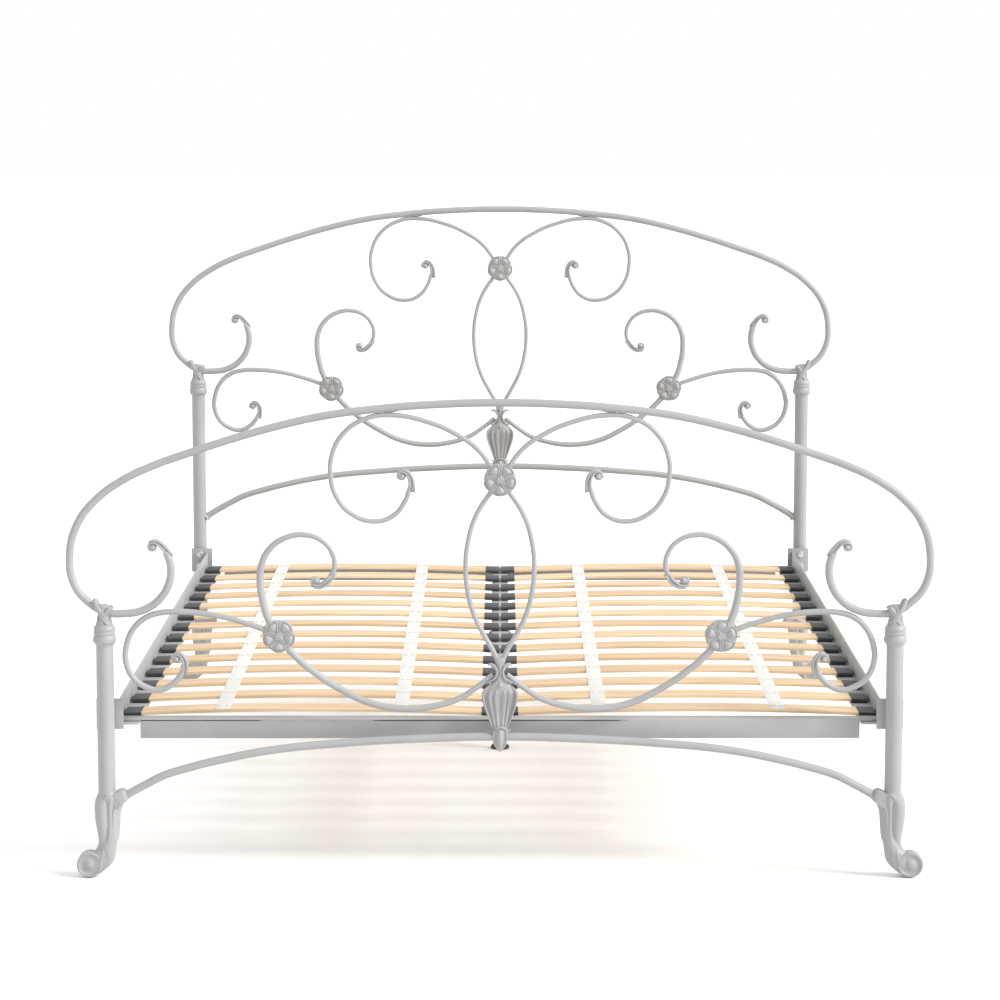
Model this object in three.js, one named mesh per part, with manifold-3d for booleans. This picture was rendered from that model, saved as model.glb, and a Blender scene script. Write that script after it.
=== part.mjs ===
// Painted iron bed frame: a scrolled headboard and footboard, angle-iron side rails and a slatted base.
// X is across the bed, -Y is the foot end, +Y is the head end, +Z is up. Millimetres.

import * as THREE from "three";
import { mergeVertices } from "three/addons/utils/BufferGeometryUtils.js";
import Module from "manifold-3d";

const wasm = await Module();
wasm.setup();

// Overall layout
const postGap = 1570; // between the two post centres of one end
const endGap = 2060; // between the footboard and the headboard
const headLift = 287; // how much higher the headboard panel sits
const gap = 0.3; // clearance where two pieces touch

// Posts and their castings
const postX = postGap / 2;
const postRadius = 17.25;
const postWall = 2;
const postBottom = 150;
const postTop = 503;
const footTop = 178;
const toeX = 820;
const toeRadius = 26.5;
const postSides = 12;

// Bars of a panel
const barSides = 6;
const archSteps = 48;
const crownSteps = 23;
const centreSteps = 10;
const sweepSteps = 25;
const sideSteps = 21;
const railSteps = 14;
const rosetteRadius = 34;
const rosetteDepth = 19;

// Bed base
const railOuterX = 766;
const railLeg = 44;
const railThick = 4;
const railBottom = 306;
const shelf = railBottom + railThick;
const plateThick = 5;
const plateFace = endGap / 2 - postRadius - gap;
const boltHeights = [313, 343];
const endRailY = 1000;
const legY = 200;
const slatCount = 14;
const slatPitch = 142;
const slatWidth = 63;
const slatThick = 8;
const slatRise = 10;

// Every bar is a list of [x, z, radius] stations in the plane of the panel, for the +X half.
// The arch tube runs over the top, turns in at the collar and ends in a small scroll.
const archHalf = [
  [0, 954.5, 8],
  [130, 951, 8],
  [235, 943, 8],
  [344, 929, 8],
  [439, 908, 8],
  [534, 881, 8],
  [610, 856, 8],
  [686, 829, 8],
  [748, 799, 8],
  [797, 763, 8],
  [834, 716, 8],
  [852, 655, 8],
  [843, 592, 8],
  [814, 556, 8],
  [784, 538, 8],
  [746, 534.5, 8],
  [706, 542, 8],
  [675, 563, 8],
  [656, 594, 8],
  [651.5, 624, 8],
  [657, 646, 8.5],
  [664, 662, 8.5],
  [675, 672, 6],
  [689, 672, 4.5],
  [695, 664, 4],
];
const archBall = [686, 664, 8];

const crownStations = [
  [10, 817, 5],
  [46, 864, 5],
  [88, 893, 5],
  [138, 915, 5],
  [213, 930, 5],
  [266, 922.5, 5],
  [309, 893, 5],
  [331, 851, 5],
  [334, 808, 5],
  [322, 766, 5],
  [292, 733, 5],
  [248, 719, 5],
  [210, 731, 5],
  [188, 758, 5],
  [180, 778, 6],
  [174, 798, 8],
  [181, 814, 6],
  [193, 818, 4.5],
  [201, 811, 4],
];
const crownBall = [193, 808, 8];

const centreStations = [
  [11, 788, 5],
  [48, 729, 5],
  [63, 679, 5],
  [68, 629, 5],
  [63, 574, 5],
  [50, 528, 5],
  [29, 486, 5],
  [12, 456, 5],
  [6, 441, 5],
];

// The sweep thickens towards the side rosette, the curl above it tapers to its leaf.
const sweepStations = [
  [14, 411, 5.5],
  [46, 386, 5.5],
  [80, 364, 6],
  [130, 348, 6.5],
  [193, 342.5, 7],
  [256, 353, 7],
  [314, 380, 7],
  [365, 413, 7],
  [418, 461, 7.5],
  [458, 521, 7.5],
  [470, 559, 7.5],
  [475, 598, 7.5],
  [472, 632, 7],
  [457, 662, 6.5],
  [427, 685, 6],
  [386, 692, 5.5],
  [351, 679, 5],
  [332, 655, 5],
  [326.5, 631, 6],
  [333, 610, 8],
  [348, 593, 7],
  [364, 587, 5],
  [376, 594, 4.5],
];
const sweepBall = [365, 600, 9];

const sideStations = [
  [452, 495, 5.5],
  [473, 504, 5.5],
  [511, 517, 5.5],
  [552, 528, 5.5],
  [593, 535, 6],
  [633, 538, 6],
  [670, 536.5, 6],
  [702, 526.5, 6],
  [727, 504, 6],
  [741, 472, 6],
  [743, 437, 6],
  [728, 404, 6],
  [704, 386, 6],
  [678, 380.5, 6],
  [654, 390, 6],
  [634, 411, 6.5],
  [627, 430, 8.5],
  [632, 447, 7],
  [643, 454, 4.5],
  [653, 447, 4],
];
const sideBall = [644, 444, 8];

const railHalf = [
  [745, 167, 8],
  [706, 189, 8],
  [670, 207, 8],
  [617, 223.5, 8],
  [560, 238, 8],
  [450, 259, 8],
  [320, 272, 8],
  [170, 281, 8],
  [0, 285.5, 8],
];

const toSolid = (geometry) => {
  const plain = geometry.clone();
  plain.deleteAttribute("normal");
  plain.deleteAttribute("uv");
  const closed = mergeVertices(plain, 0.001);
  return new wasm.Manifold(
    new wasm.Mesh({
      numProp: 3,
      vertProperties: closed.attributes.position.array,
      triVerts: Uint32Array.from(closed.index.array),
    }),
  );
};

const toGeometry = (solid) => {
  const mesh = solid.getMesh();
  const geometry = new THREE.BufferGeometry();
  geometry.setAttribute("position", new THREE.BufferAttribute(mesh.vertProperties, 3));
  geometry.setIndex(new THREE.BufferAttribute(mesh.triVerts, 1));
  geometry.computeVertexNormals();
  return geometry;
};

const join = (...geometries) => geometries.map(toSolid).reduce((all, next) => all.add(next));
const cut = (solid, ...geometries) => geometries.map(toSolid).reduce((left, tool) => left.subtract(tool), solid);

// A round bar of changing radius, bent through its stations in the plane of the panel.
const bentBar = (stations, steps, sides = barSides, extra = 0) => {
  const points = stations.map(([x, z]) => new THREE.Vector3(x, 0, z));
  const curve = new THREE.CatmullRomCurve3(points, false, "centripetal");
  const bar = new THREE.CylinderGeometry(1, 1, 1, sides, steps).rotateY(Math.PI / 2);
  const place = bar.attributes.position;
  for (let i = 0; i < place.count; i += 1) {
    const along = place.getY(i) + 0.5;
    const centre = curve.getPoint(along);
    const heading = curve.getTangent(along);
    const reach = Math.min(along * (stations.length - 1), stations.length - 1.0001);
    const index = Math.floor(reach);
    const radius = THREE.MathUtils.lerp(stations[index][2], stations[index + 1][2], reach - index) + extra;
    const across = place.getX(i) * radius;
    place.setXYZ(i, centre.x - heading.z * across, place.getZ(i) * radius, centre.z + heading.x * across);
  }
  return bar;
};

// An upright body with elliptical sections, from [z, centre x, half x, half y] levels, bottom first.
const stackedBody = (levels, sides) => {
  const body = new THREE.CylinderGeometry(1, 1, 1, sides, levels.length - 1);
  const place = body.attributes.position;
  for (let i = 0; i < place.count; i += 1) {
    const [z, centre, halfX, halfY] = levels[Math.round((place.getY(i) + 0.5) * (levels.length - 1))];
    place.setXYZ(i, centre + place.getX(i) * halfX, -place.getZ(i) * halfY, z);
  }
  return body;
};

const turned = (profile, sides) => {
  const points = profile.map(([radius, height]) => new THREE.Vector2(radius, height));
  return new THREE.LatheGeometry(points, sides).rotateX(Math.PI / 2);
};

const box = (x0, x1, y0, y1, z0, z1) =>
  new THREE.BoxGeometry(x1 - x0, y1 - y0, z1 - z0).translate((x0 + x1) / 2, (y0 + y1) / 2, (z0 + z1) / 2);

const ball = ([x, z, radius]) => new THREE.SphereGeometry(radius, 6, 4).rotateX(Math.PI / 2).translate(x, 0, z);

const upright = (radius, z0, z1, sides, x) =>
  turned([[0, z0], [radius, z0], [radius, z1], [0, z1]], sides).translate(x, 0, 0);

const mirrored = (geometry) => {
  const other = geometry.clone().scale(-1, 1, 1);
  const index = other.index.array;
  for (let i = 0; i < index.length; i += 3) {
    const first = index[i];
    index[i] = index[i + 2];
    index[i + 2] = first;
  }
  other.computeVertexNormals();
  return other;
};

const flipX = (stations) => stations.map(([x, z, radius]) => [-x, z, radius]);
const bothHalves = (half) => [...flipX(half).reverse(), ...half.slice(1)];
const risingHalves = (half) => [...flipX(half), ...half.slice(0, -1).reverse()];

// Bars, with the fatter copies that cut their seats in the castings
const archLine = bothHalves(archHalf);
const archTube = toGeometry(
  join(bentBar(archLine, archSteps), ball(archBall), ball([-archBall[0], archBall[1], archBall[2]])),
);
const crownBar = toGeometry(join(bentBar(crownStations, crownSteps), ball(crownBall)));
const centreBar = bentBar(centreStations, centreSteps);
const sweepBar = toGeometry(join(bentBar(sweepStations, sweepSteps), ball(sweepBall)));

const seatFor = (stations, steps) => bentBar(stations, steps, barSides, gap);

// The side scroll is coped against the sweep where both meet in the rosette.
const sideBar = toGeometry(
  cut(join(bentBar(sideStations, sideSteps), ball(sideBall)), seatFor(sweepStations, sweepSteps)),
);

const railSpan = (lead) => risingHalves([lead, ...railHalf]);
const footRailLine = railSpan([757, 159, 8]);
const headRailLine = railSpan([778, 145, 8]);
const footRail = bentBar(footRailLine, railSteps);

// Where the head rail meets the posts its ends are hollowed to the round of the post.
const headRail = toGeometry(
  cut(
    join(bentBar(headRailLine, railSteps)),
    upright(postRadius + gap, 50, 300, postSides, postX),
    upright(postRadius + gap, 50, 300, postSides, -postX),
  ),
);

// Five-petalled flower disc with a low boss in the middle, the same on both faces.
const rosette = (x, z, phase) => {
  const outline = new THREE.Shape();
  const points = 20;
  for (let i = 0; i < points; i += 1) {
    const angle = (i / points) * Math.PI * 2;
    const lobe = Math.abs(Math.cos(2.5 * (angle - phase)));
    const radius = (rosetteRadius - 2) * (0.84 + 0.16 * Math.sqrt(lobe));
    outline[i ? "lineTo" : "moveTo"](radius * Math.cos(angle), radius * Math.sin(angle));
  }
  outline.closePath();
  const disc = new THREE.ExtrudeGeometry(outline, {
    depth: rosetteDepth - 4,
    bevelEnabled: true,
    bevelThickness: 2,
    bevelSize: 2,
    bevelSegments: 1,
  });
  disc.translate(0, 0, 2 - rosetteDepth / 2).rotateX(Math.PI / 2);
  const boss = new THREE.CylinderGeometry(6, 6, rosetteDepth + 3, 6);
  return join(disc, boss).translate([x, 0, z]);
};

const petalDown = -Math.PI / 2;
const centreRosette = toGeometry(
  cut(
    rosette(0, 803, petalDown),
    seatFor(crownStations, crownSteps),
    seatFor(flipX(crownStations), crownSteps),
    seatFor(centreStations, centreSteps),
    seatFor(flipX(centreStations), centreSteps),
  ),
);
const sideRosette = (phase) =>
  toGeometry(cut(rosette(439, 488, phase), seatFor(sweepStations, sweepSteps), seatFor(sideStations, sideSteps)));
const rightRosette = sideRosette(Math.PI / 2);
const leftRosette = mirrored(sideRosette(petalDown));

// Tulip-shaped casting that ties the centre bars and the two sweeps to the lower rail
const urnLevels = [
  [254, 0, 3, 3],
  [262, 0, 9, 8],
  [273, 0, 15, 12],
  [303, 0, 16.5, 13],
  [330, 0, 24, 13],
  [375, 0, 38.5, 14],
  [400, 0, 26, 13],
  [413, 0, 16, 12],
  [430, 0, 23, 11.5],
  [447, 0, 17, 10],
];
const urn = toGeometry(
  cut(
    toSolid(stackedBody(urnLevels, 10)),
    seatFor(footRailLine, railSteps),
    seatFor(centreStations, centreSteps),
    seatFor(flipX(centreStations), centreSteps),
    seatFor(sweepStations, sweepSteps),
    seatFor(flipX(sweepStations), sweepSteps),
  ),
);

// Collar: a turned barrel over the post top, and a bound neck that holds the arch tube
const collarProfile = [
  [0, 471.5],
  [19, 471.5],
  [23.4, 478],
  [23.4, 485],
  [20.2, 493],
  [21.8, 499],
  [21.8, 508],
  [17, 512],
  [0, 512],
];
const neckLevels = [
  [508, 785, 17, 15],
  [524, 785, 13, 13],
  [540, 786, 18, 14],
  [555, 788, 22, 14],
  [562, 789, 19, 11],
];
const collar = toGeometry(
  cut(
    join(turned(collarProfile, postSides).translate(postX, 0, 0), stackedBody(neckLevels, 10)),
    upright(postRadius + gap, 460, postTop + gap, postSides, postX),
    seatFor(archLine, archSteps),
  ),
);

// Hollow post with two clearance holes for the side-rail bolts, on the side that faces the bed
const post = (lift) => {
  const inner = postRadius - postWall;
  const top = postTop + lift;
  const tube = turned(
    [[inner, postBottom], [postRadius, postBottom], [postRadius, top], [inner, top], [inner, postBottom]],
    postSides,
  );
  const holes = boltHeights.map((z) => new THREE.CylinderGeometry(4.3, 4.3, 12, 6).translate(0, 17, z));
  return toGeometry(cut(toSolid(tube), ...holes));
};

// Foot: a swelling leaf-wrapped leg that turns out into a scrolled toe, with a lobe for the lower rail
const legLevels = [
  [0, 812, 12, 11],
  [14, 804, 21, 15],
  [38, 792, 22, 17.5],
  [60, 783.5, 18.5, 18],
  [79, 781, 21, 19],
  [110, 782.5, 24.5, 21.5],
  [138, 783, 28, 22.5],
  [160, 782, 25, 22],
  [footTop, 785, 20.5, 20.5],
];
const toeProfile = [
  [0, -18.5],
  [13, -15],
  [21, -16.5],
  [toeRadius, -11],
  [toeRadius, 11],
  [21, 16.5],
  [13, 15],
  [0, 18.5],
];
const footCasting = (railSeat) => {
  const toe = new THREE.LatheGeometry(toeProfile.map(([r, y]) => new THREE.Vector2(r, y)), 10);
  toe.rotateY(Math.PI / 10).translate(toeX, 0, toeRadius * Math.cos(Math.PI / 10) - 0.6);
  const lobe = bentBar([[774, 148, 14], [752, 162.5, 14], [743, 168.5, 12]], 2, 8);
  const whole = join(stackedBody(legLevels, 10), toe, lobe);
  const bored = cut(
    whole,
    upright(postRadius + gap, postBottom - gap, 230, postSides, postX),
    box(700, 900, -40, 40, -20, 0),
  );
  return toGeometry(railSeat ? cut(bored, seatFor(footRailLine, railSteps)) : bored);
};

// Side rail: angle iron with a bolting plate welded to each end
const sideRail = () => {
  const innerX = railOuterX - railLeg;
  const web = box(railOuterX - railThick, railOuterX, -plateFace + 2, plateFace - 2, railBottom, railBottom + railLeg);
  const shelfPlate = box(innerX, railOuterX, -plateFace + 2, plateFace - 2, railBottom, shelf);
  const plates = [-1, 1].map((end) => {
    const faceA = end * plateFace;
    const faceB = end * (plateFace - plateThick);
    return box(752, 806, Math.min(faceA, faceB), Math.max(faceA, faceB), 297, 359);
  });
  const holes = boltHeights.flatMap((z) =>
    [-1, 1].map((end) => new THREE.CylinderGeometry(4.5, 4.5, 30, 8).translate(postX, end * plateFace, z)),
  );
  return toGeometry(cut(join(web, shelfPlate, ...plates), ...holes));
};

// Hex bolt, its head against the plate and its shank through the post wall, pointing along +Y
const bolt = () => {
  const head = new THREE.CylinderGeometry(7.5, 7.5, 5.3, 6).translate(0, -2.65, 0);
  const shank = new THREE.CylinderGeometry(4, 4, 22, 6).translate(0, 9, 0);
  return toGeometry(join(head, shank));
};

// Cross rail that rests on both side-rail shelves and carries the end of the centre rail
const endRail = () => {
  const reach = railOuterX - railThick - gap;
  const top = box(-reach, reach, endRailY - 40, endRailY, shelf + gap, shelf + gap + railThick);
  const drop = box(-720, 720, endRailY - railThick, endRailY, 276, shelf + gap + railThick);
  return toGeometry(join(top, drop));
};

// Centre rail: rectangular tube, open at both ends
const centreRail = () => {
  const shape = new THREE.Shape();
  shape.moveTo(-20, 280).lineTo(20, 280).lineTo(20, shelf).lineTo(-20, shelf).closePath();
  const hollow = new THREE.Path();
  hollow.moveTo(-18, 282).lineTo(-18, shelf - 2).lineTo(18, shelf - 2).lineTo(18, 282).closePath();
  shape.holes.push(hollow);
  const length = 2 * (endRailY - railThick - gap);
  return new THREE.ExtrudeGeometry(shape, { depth: length, bevelEnabled: false })
    .translate(0, 0, -length / 2)
    .rotateX(Math.PI / 2);
};

// Centre leg, set towards the head where the load is: tube with a top plate, and a bored plug at the bottom for the levelling screw
const centreLeg = () =>
  turned(
    [
      [0, 275.7],
      [13, 275.7],
      [13, 62],
      [5.5, 62],
      [5.5, 45],
      [15, 45],
      [15, 275.7],
      [27, 275.7],
      [27, 279.7],
      [0, 279.7],
    ],
    10,
  );

const levellingFoot = () =>
  turned([[0, 0], [22, 0], [22, 6], [17, 10], [8.5, 12], [8.5, 20], [5, 20], [5, 92], [0, 92]], 10);

// One side's roll of sprung slats, bowed upwards and joined by two webbing tapes
const slatRoll = () => {
  const [x0, x1] = [3, 757];
  const low = shelf + gap;
  const middle = (x0 + x1) / 2;
  const shape = new THREE.Shape();
  shape.moveTo(x0, low);
  shape.quadraticCurveTo(middle, low + 2 * slatRise, x1, low);
  shape.lineTo(x1, low + slatThick);
  shape.quadraticCurveTo(middle, low + slatThick + 2 * slatRise, x0, low + slatThick);
  shape.closePath();
  const slats = Array.from({ length: slatCount }, (_, i) => {
    const y = (i - (slatCount - 1) / 2) * slatPitch;
    const slat = new THREE.ExtrudeGeometry(shape, { depth: slatWidth, bevelEnabled: false, curveSegments: 3 });
    return slat.translate(0, 0, -slatWidth / 2).rotateX(Math.PI / 2).translate(0, y, 0);
  });
  const reach = ((slatCount - 1) / 2) * slatPitch + 20;
  const tapes = [200, 560].map((x) => {
    const t = (x - x0) / (x1 - x0);
    const z = low + 4 * slatRise * t * (1 - t);
    return box(x - 15, x + 15, -reach, reach, z - 1.5, z + 1.2);
  });
  return toGeometry(join(...slats, ...tapes));
};

// Scene graph
const bed = new THREE.Group();
bed.name = "metal_bed_frame";

const paint = () => new THREE.MeshStandardMaterial({ color: 0xdcdcda, roughness: 0.42, metalness: 0.05 });
const steel = () => new THREE.MeshStandardMaterial({ color: 0xa8a9ab, roughness: 0.35, metalness: 0.9 });
const beech = () => new THREE.MeshStandardMaterial({ color: 0xd7b58a, roughness: 0.6, metalness: 0 });
const plastic = () => new THREE.MeshStandardMaterial({ color: 0x2b2c2e, roughness: 0.55, metalness: 0 });

const addMesh = (parent, name, geometry, material, x = 0, y = 0, z = 0) => {
  const mesh = new THREE.Mesh(geometry, material);
  mesh.name = name;
  mesh.position.set(x, y, z);
  parent.add(mesh);
};

// A piece and its mirror image
const addPair = (parent, board, name, geometry, z = 0) => {
  addMesh(parent, `${board}_right_${name}`, geometry, paint(), 0, 0, z);
  addMesh(parent, `${board}_left_${name}`, mirrored(geometry), paint(), 0, 0, z);
};

const addBoard = (board, lift, y, facing) => {
  const group = new THREE.Group();
  group.position.set(0, y, 0);
  addMesh(group, `${board}_arch_tube`, archTube, paint(), 0, 0, lift);
  addMesh(group, `${board}_lower_rail`, lift ? headRail : footRail, paint(), 0, 0, lift);
  addPair(group, board, "crown_scroll", crownBar, lift);
  addPair(group, board, "centre_bar", toGeometry(toSolid(centreBar)), lift);
  addPair(group, board, "s_scroll", sweepBar, lift);
  addPair(group, board, "side_scroll", sideBar, lift);
  addMesh(group, `${board}_centre_rosette`, centreRosette, paint(), 0, 0, lift);
  addMesh(group, `${board}_right_rosette`, rightRosette, paint(), 0, 0, lift);
  addMesh(group, `${board}_left_rosette`, leftRosette, paint(), 0, 0, lift);
  addMesh(group, `${board}_urn_casting`, urn, paint(), 0, 0, lift);
  addPair(group, board, "collar", collar, lift);
  addPair(group, board, "foot_casting", footCasting(!lift));
  const tube = post(lift).scale(1, facing, 1);
  const standing = facing < 0 ? mirrored(tube.scale(-1, 1, 1)) : tube;
  addMesh(group, `${board}_right_post`, standing, paint(), postX, 0, 0);
  addMesh(group, `${board}_left_post`, standing.clone(), paint(), -postX, 0, 0);
  bed.add(group);
};

addBoard("footboard", 0, -endGap / 2, 1);
addBoard("headboard", headLift, endGap / 2, -1);

const base = new THREE.Group();
const rail = sideRail();
addMesh(base, "side_rail_right", rail, paint());
addMesh(base, "side_rail_left", mirrored(rail), paint());

const crossRail = endRail();
addMesh(base, "cross_rail_head", crossRail, paint());
const footCross = new THREE.Group();
footCross.rotation.z = Math.PI;
addMesh(footCross, "cross_rail_foot", crossRail.clone(), paint());
base.add(footCross);
addMesh(base, "centre_rail", centreRail(), paint());

const roll = slatRoll();
addMesh(base, "slat_roll_right", roll, beech());
addMesh(base, "slat_roll_left", mirrored(roll), beech());

addMesh(base, "centre_leg", centreLeg(), paint(), 0, legY, 0);
addMesh(base, "levelling_foot", levellingFoot(), plastic(), 0, legY, 0);

for (const [end, sign] of [["head", 1], ["foot", -1]]) {
  for (const [side, hand] of [["right", 1], ["left", -1]]) {
    const corner = new THREE.Group();
    corner.position.set(hand * postX, sign * (plateFace - plateThick - gap), 0);
    corner.rotation.z = sign > 0 ? 0 : Math.PI;
    addMesh(corner, `rail_bolt_${end}_${side}_lower`, bolt(), steel(), 0, 0, boltHeights[0]);
    addMesh(corner, `rail_bolt_${end}_${side}_upper`, bolt(), steel(), 0, 0, boltHeights[1]);
    base.add(corner);
  }
}
bed.add(base);

export default bed;
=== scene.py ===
# Painted iron bed frame: scrolled ends with cast leaves and flowers, angle-iron rails, sprung slats.
# X runs across the bed, -Y is the foot end, +Z is up. Sizes in the dictionaries are millimetres.
import math

import bmesh
import bpy
from mathutils import Matrix, Vector
from mathutils.kdtree import KDTree


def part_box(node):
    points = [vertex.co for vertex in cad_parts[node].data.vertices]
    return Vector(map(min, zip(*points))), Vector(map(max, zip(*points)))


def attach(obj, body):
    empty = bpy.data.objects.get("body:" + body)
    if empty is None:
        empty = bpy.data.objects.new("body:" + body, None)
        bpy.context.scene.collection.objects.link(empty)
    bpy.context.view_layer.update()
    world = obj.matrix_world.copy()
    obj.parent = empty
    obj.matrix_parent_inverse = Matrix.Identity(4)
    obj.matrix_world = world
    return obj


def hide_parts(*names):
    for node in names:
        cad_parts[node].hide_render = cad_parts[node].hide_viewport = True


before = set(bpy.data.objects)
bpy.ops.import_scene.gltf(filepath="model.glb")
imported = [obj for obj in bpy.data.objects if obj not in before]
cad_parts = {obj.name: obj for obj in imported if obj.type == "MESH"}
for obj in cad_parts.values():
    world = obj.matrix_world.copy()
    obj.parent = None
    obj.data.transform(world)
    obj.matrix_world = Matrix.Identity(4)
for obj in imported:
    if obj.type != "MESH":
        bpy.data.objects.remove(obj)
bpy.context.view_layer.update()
mm = 0.001


def centreOf(node):
    low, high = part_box(node)
    return (low + high) / 2


def addTo(bm, made, matrix):
    # moves the vertices that an operator has just made
    points = [item for item in made if isinstance(item, bmesh.types.BMVert)]
    bmesh.ops.transform(bm, matrix=matrix, verts=points)


def edgesOf(points):
    # each edge once, in the order of the vertices, so that every run gives the same mesh
    return list(dict.fromkeys(edge for point in points for edge in point.link_edges))


def scaledAt(centre, size=(1, 1, 1)):
    return Matrix.Translation(Vector(centre)) @ Matrix.Diagonal((*size, 1))


def sweep(bm, stations, flat=1.0, sides=12, steps=8, tilt=0):
    # a round bar of changing radius through [x, y, z, radius] stations; flat scales its depth in y
    line = bpy.data.curves.new("line", "CURVE")
    line.dimensions = "3D"
    line.bevel_depth = 1.0
    line.bevel_resolution = max(0, (sides - 4) // 2)
    line.resolution_u = steps
    line.use_fill_caps = True
    spline = line.splines.new("BEZIER")
    spline.radius_interpolation = "CARDINAL"
    spline.bezier_points.add(len(stations) - 1)
    for point, (x, y, z, radius) in zip(spline.bezier_points, stations):
        point.co = (x * mm, y * mm / flat, z * mm)
        point.handle_left_type = point.handle_right_type = "AUTO"
        point.radius = radius * mm
        point.tilt = math.radians(tilt)
    holder = bpy.data.objects.new("line", line)
    tube = bpy.data.meshes.new_from_object(holder)
    if flat != 1.0:
        tube.transform(Matrix.Diagonal((1, flat, 1, 1)))
    bm.from_mesh(tube)
    bpy.data.objects.remove(holder)
    bpy.data.curves.remove(line)
    bpy.data.meshes.remove(tube)


def inPlane(stations, y=0.0):
    return [(x, y, z, radius) for x, z, radius in stations]


def flatBar(bm, stations, flat=1.0, y=0.0, sides=12, steps=8, tilt=0):
    sweep(bm, inPlane(stations, y), flat, sides, steps, tilt)


def ball(bm, centre, size, segments=24):
    made = bmesh.ops.create_uvsphere(bm, u_segments=segments, v_segments=segments // 2, radius=mm)
    addTo(bm, made["verts"], scaledAt([c * mm for c in centre], size))


def turned(bm, profile, centre=(0, 0, 0), axis="Z", sides=48):
    # spins an [radius, height] outline round an axis
    corners = [bm.verts.new((radius * mm, 0, height * mm)) for radius, height in profile]
    edges = [bm.edges.new(pair) for pair in zip(corners, corners[1:])]
    before = set(bm.verts) - set(corners)
    bmesh.ops.spin(
        bm,
        geom=corners + edges,
        axis=(0, 0, 1),
        cent=(0, 0, 0),
        angle=2 * math.pi,
        steps=sides,
        use_merge=True,
    )
    made = [v for v in bm.verts if v not in before]
    turn = Matrix.Rotation(math.radians(90), 4, "X") if axis == "Y" else Matrix.Identity(4)
    bmesh.ops.transform(bm, matrix=Matrix.Translation(Vector(centre) * mm) @ turn, verts=made)
    bmesh.ops.remove_doubles(bm, verts=made, dist=1e-6)


def rounded(bm, low, high, edge=1.0, segments=2):
    # a block between two corners with its edges rounded
    low, high = Vector(low) * mm, Vector(high) * mm
    made = bmesh.ops.create_cube(bm, size=1.0)["verts"]
    addTo(bm, made, scaledAt((low + high) / 2, high - low))
    edges = edgesOf(made)
    if edge:
        bmesh.ops.bevel(
            bm,
            geom=edges,
            offset=edge * mm,
            offset_type="OFFSET",
            affect="EDGES",
            segments=segments,
            profile=0.5,
            material=-1,
        )


def stacked(bm, levels, sides=40):
    # an upright body through elliptical rings, from [z, centre x, half x, half y] levels
    rings = []
    for z, x, halfX, halfY in levels:
        ring = bmesh.ops.create_circle(bm, cap_ends=False, segments=sides, radius=mm)["verts"]
        addTo(bm, ring, scaledAt((x * mm, 0, z * mm), (halfX, halfY, 1)))
        rings.append([e for e in bm.edges if e.verts[0] in ring and e.verts[1] in ring])
    for lower, upper in zip(rings, rings[1:]):
        bmesh.ops.bridge_loops(bm, edges=lower + upper)
    for end in (rings[0], rings[-1]):
        bmesh.ops.contextual_create(bm, geom=end)


def finer(rows, count):
    # more rows on a smooth line through the given ones
    last = len(rows) - 1
    result = []
    for i in range(count + 1):
        reach = min(i / count * last, last - 1e-6)
        k = int(reach)
        t = reach - k
        a, b, c, d = (rows[min(max(j, 0), last)] for j in (k - 1, k, k + 1, k + 2))
        result.append(
            [
                0.5 * (
                    2 * q + (r - p) * t + (
                        2 * p - 5 * q + 4 * r - s
                    ) * t**2 + (3 * q - p - 3 * r + s) * t**3
                )
                for p, q, r, s in zip(a, b, c, d)
            ]
        )
    return result


def onLevels(levels, z):
    # the centre and half widths of a stacked body at a height
    for lower, upper in zip(levels, levels[1:]):
        if lower[0] <= z <= upper[0]:
            t = (z - lower[0]) / (upper[0] - lower[0])
            return [p + (q - p) * t for p, q in zip(lower[1:], upper[1:])]
    return (levels[0] if z < levels[0][0] else levels[-1])[1:]


def meshOf(bm, name, sharp=35):
    # closes, turns outwards and smooths a finished shape
    bmesh.ops.remove_doubles(bm, verts=bm.verts, dist=2e-6)
    bmesh.ops.recalc_face_normals(bm, faces=bm.faces)
    mesh = bpy.data.meshes.new(name)
    bm.to_mesh(mesh)
    bm.free()
    mesh.shade_smooth()
    mesh.set_sharp_from_angle(angle=math.radians(sharp))
    return mesh


def cast(bm, name, voxel, rounds=3, floor=None):
    # melts overlapping shapes into one skin, as iron that was poured in one piece
    rough = meshOf(bm, name + "Rough")
    holder = bpy.data.objects.new(name, rough)
    bpy.context.scene.collection.objects.link(holder)
    skin = holder.modifiers.new("skin", "REMESH")
    skin.mode = "VOXEL"
    skin.voxel_size = voxel * mm
    soften = holder.modifiers.new("soften", "SMOOTH")
    soften.factor = 0.5
    soften.iterations = rounds
    bpy.context.view_layer.update()
    melted = bpy.data.meshes.new_from_object(holder.evaluated_get(bpy.context.evaluated_depsgraph_get()))
    bpy.data.objects.remove(holder)
    bpy.data.meshes.remove(rough)
    if floor is not None:
        cut = bmesh.new()
        cut.from_mesh(melted)
        everything = list(cut.verts) + list(cut.edges) + list(cut.faces)
        sliced = bmesh.ops.bisect_plane(
            cut, geom=everything, plane_co=(0, 0, floor * mm), plane_no=(0, 0, -1), clear_outer=True
        )
        rim = [item for item in sliced["geom_cut"] if isinstance(item, bmesh.types.BMEdge)]
        if rim:
            bmesh.ops.edgeloop_fill(cut, edges=rim)
        cut.to_mesh(melted)
        cut.free()
    melted.name = name
    melted.shade_smooth()
    print("cast", name, len(melted.polygons), "faces")
    return melted


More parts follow.
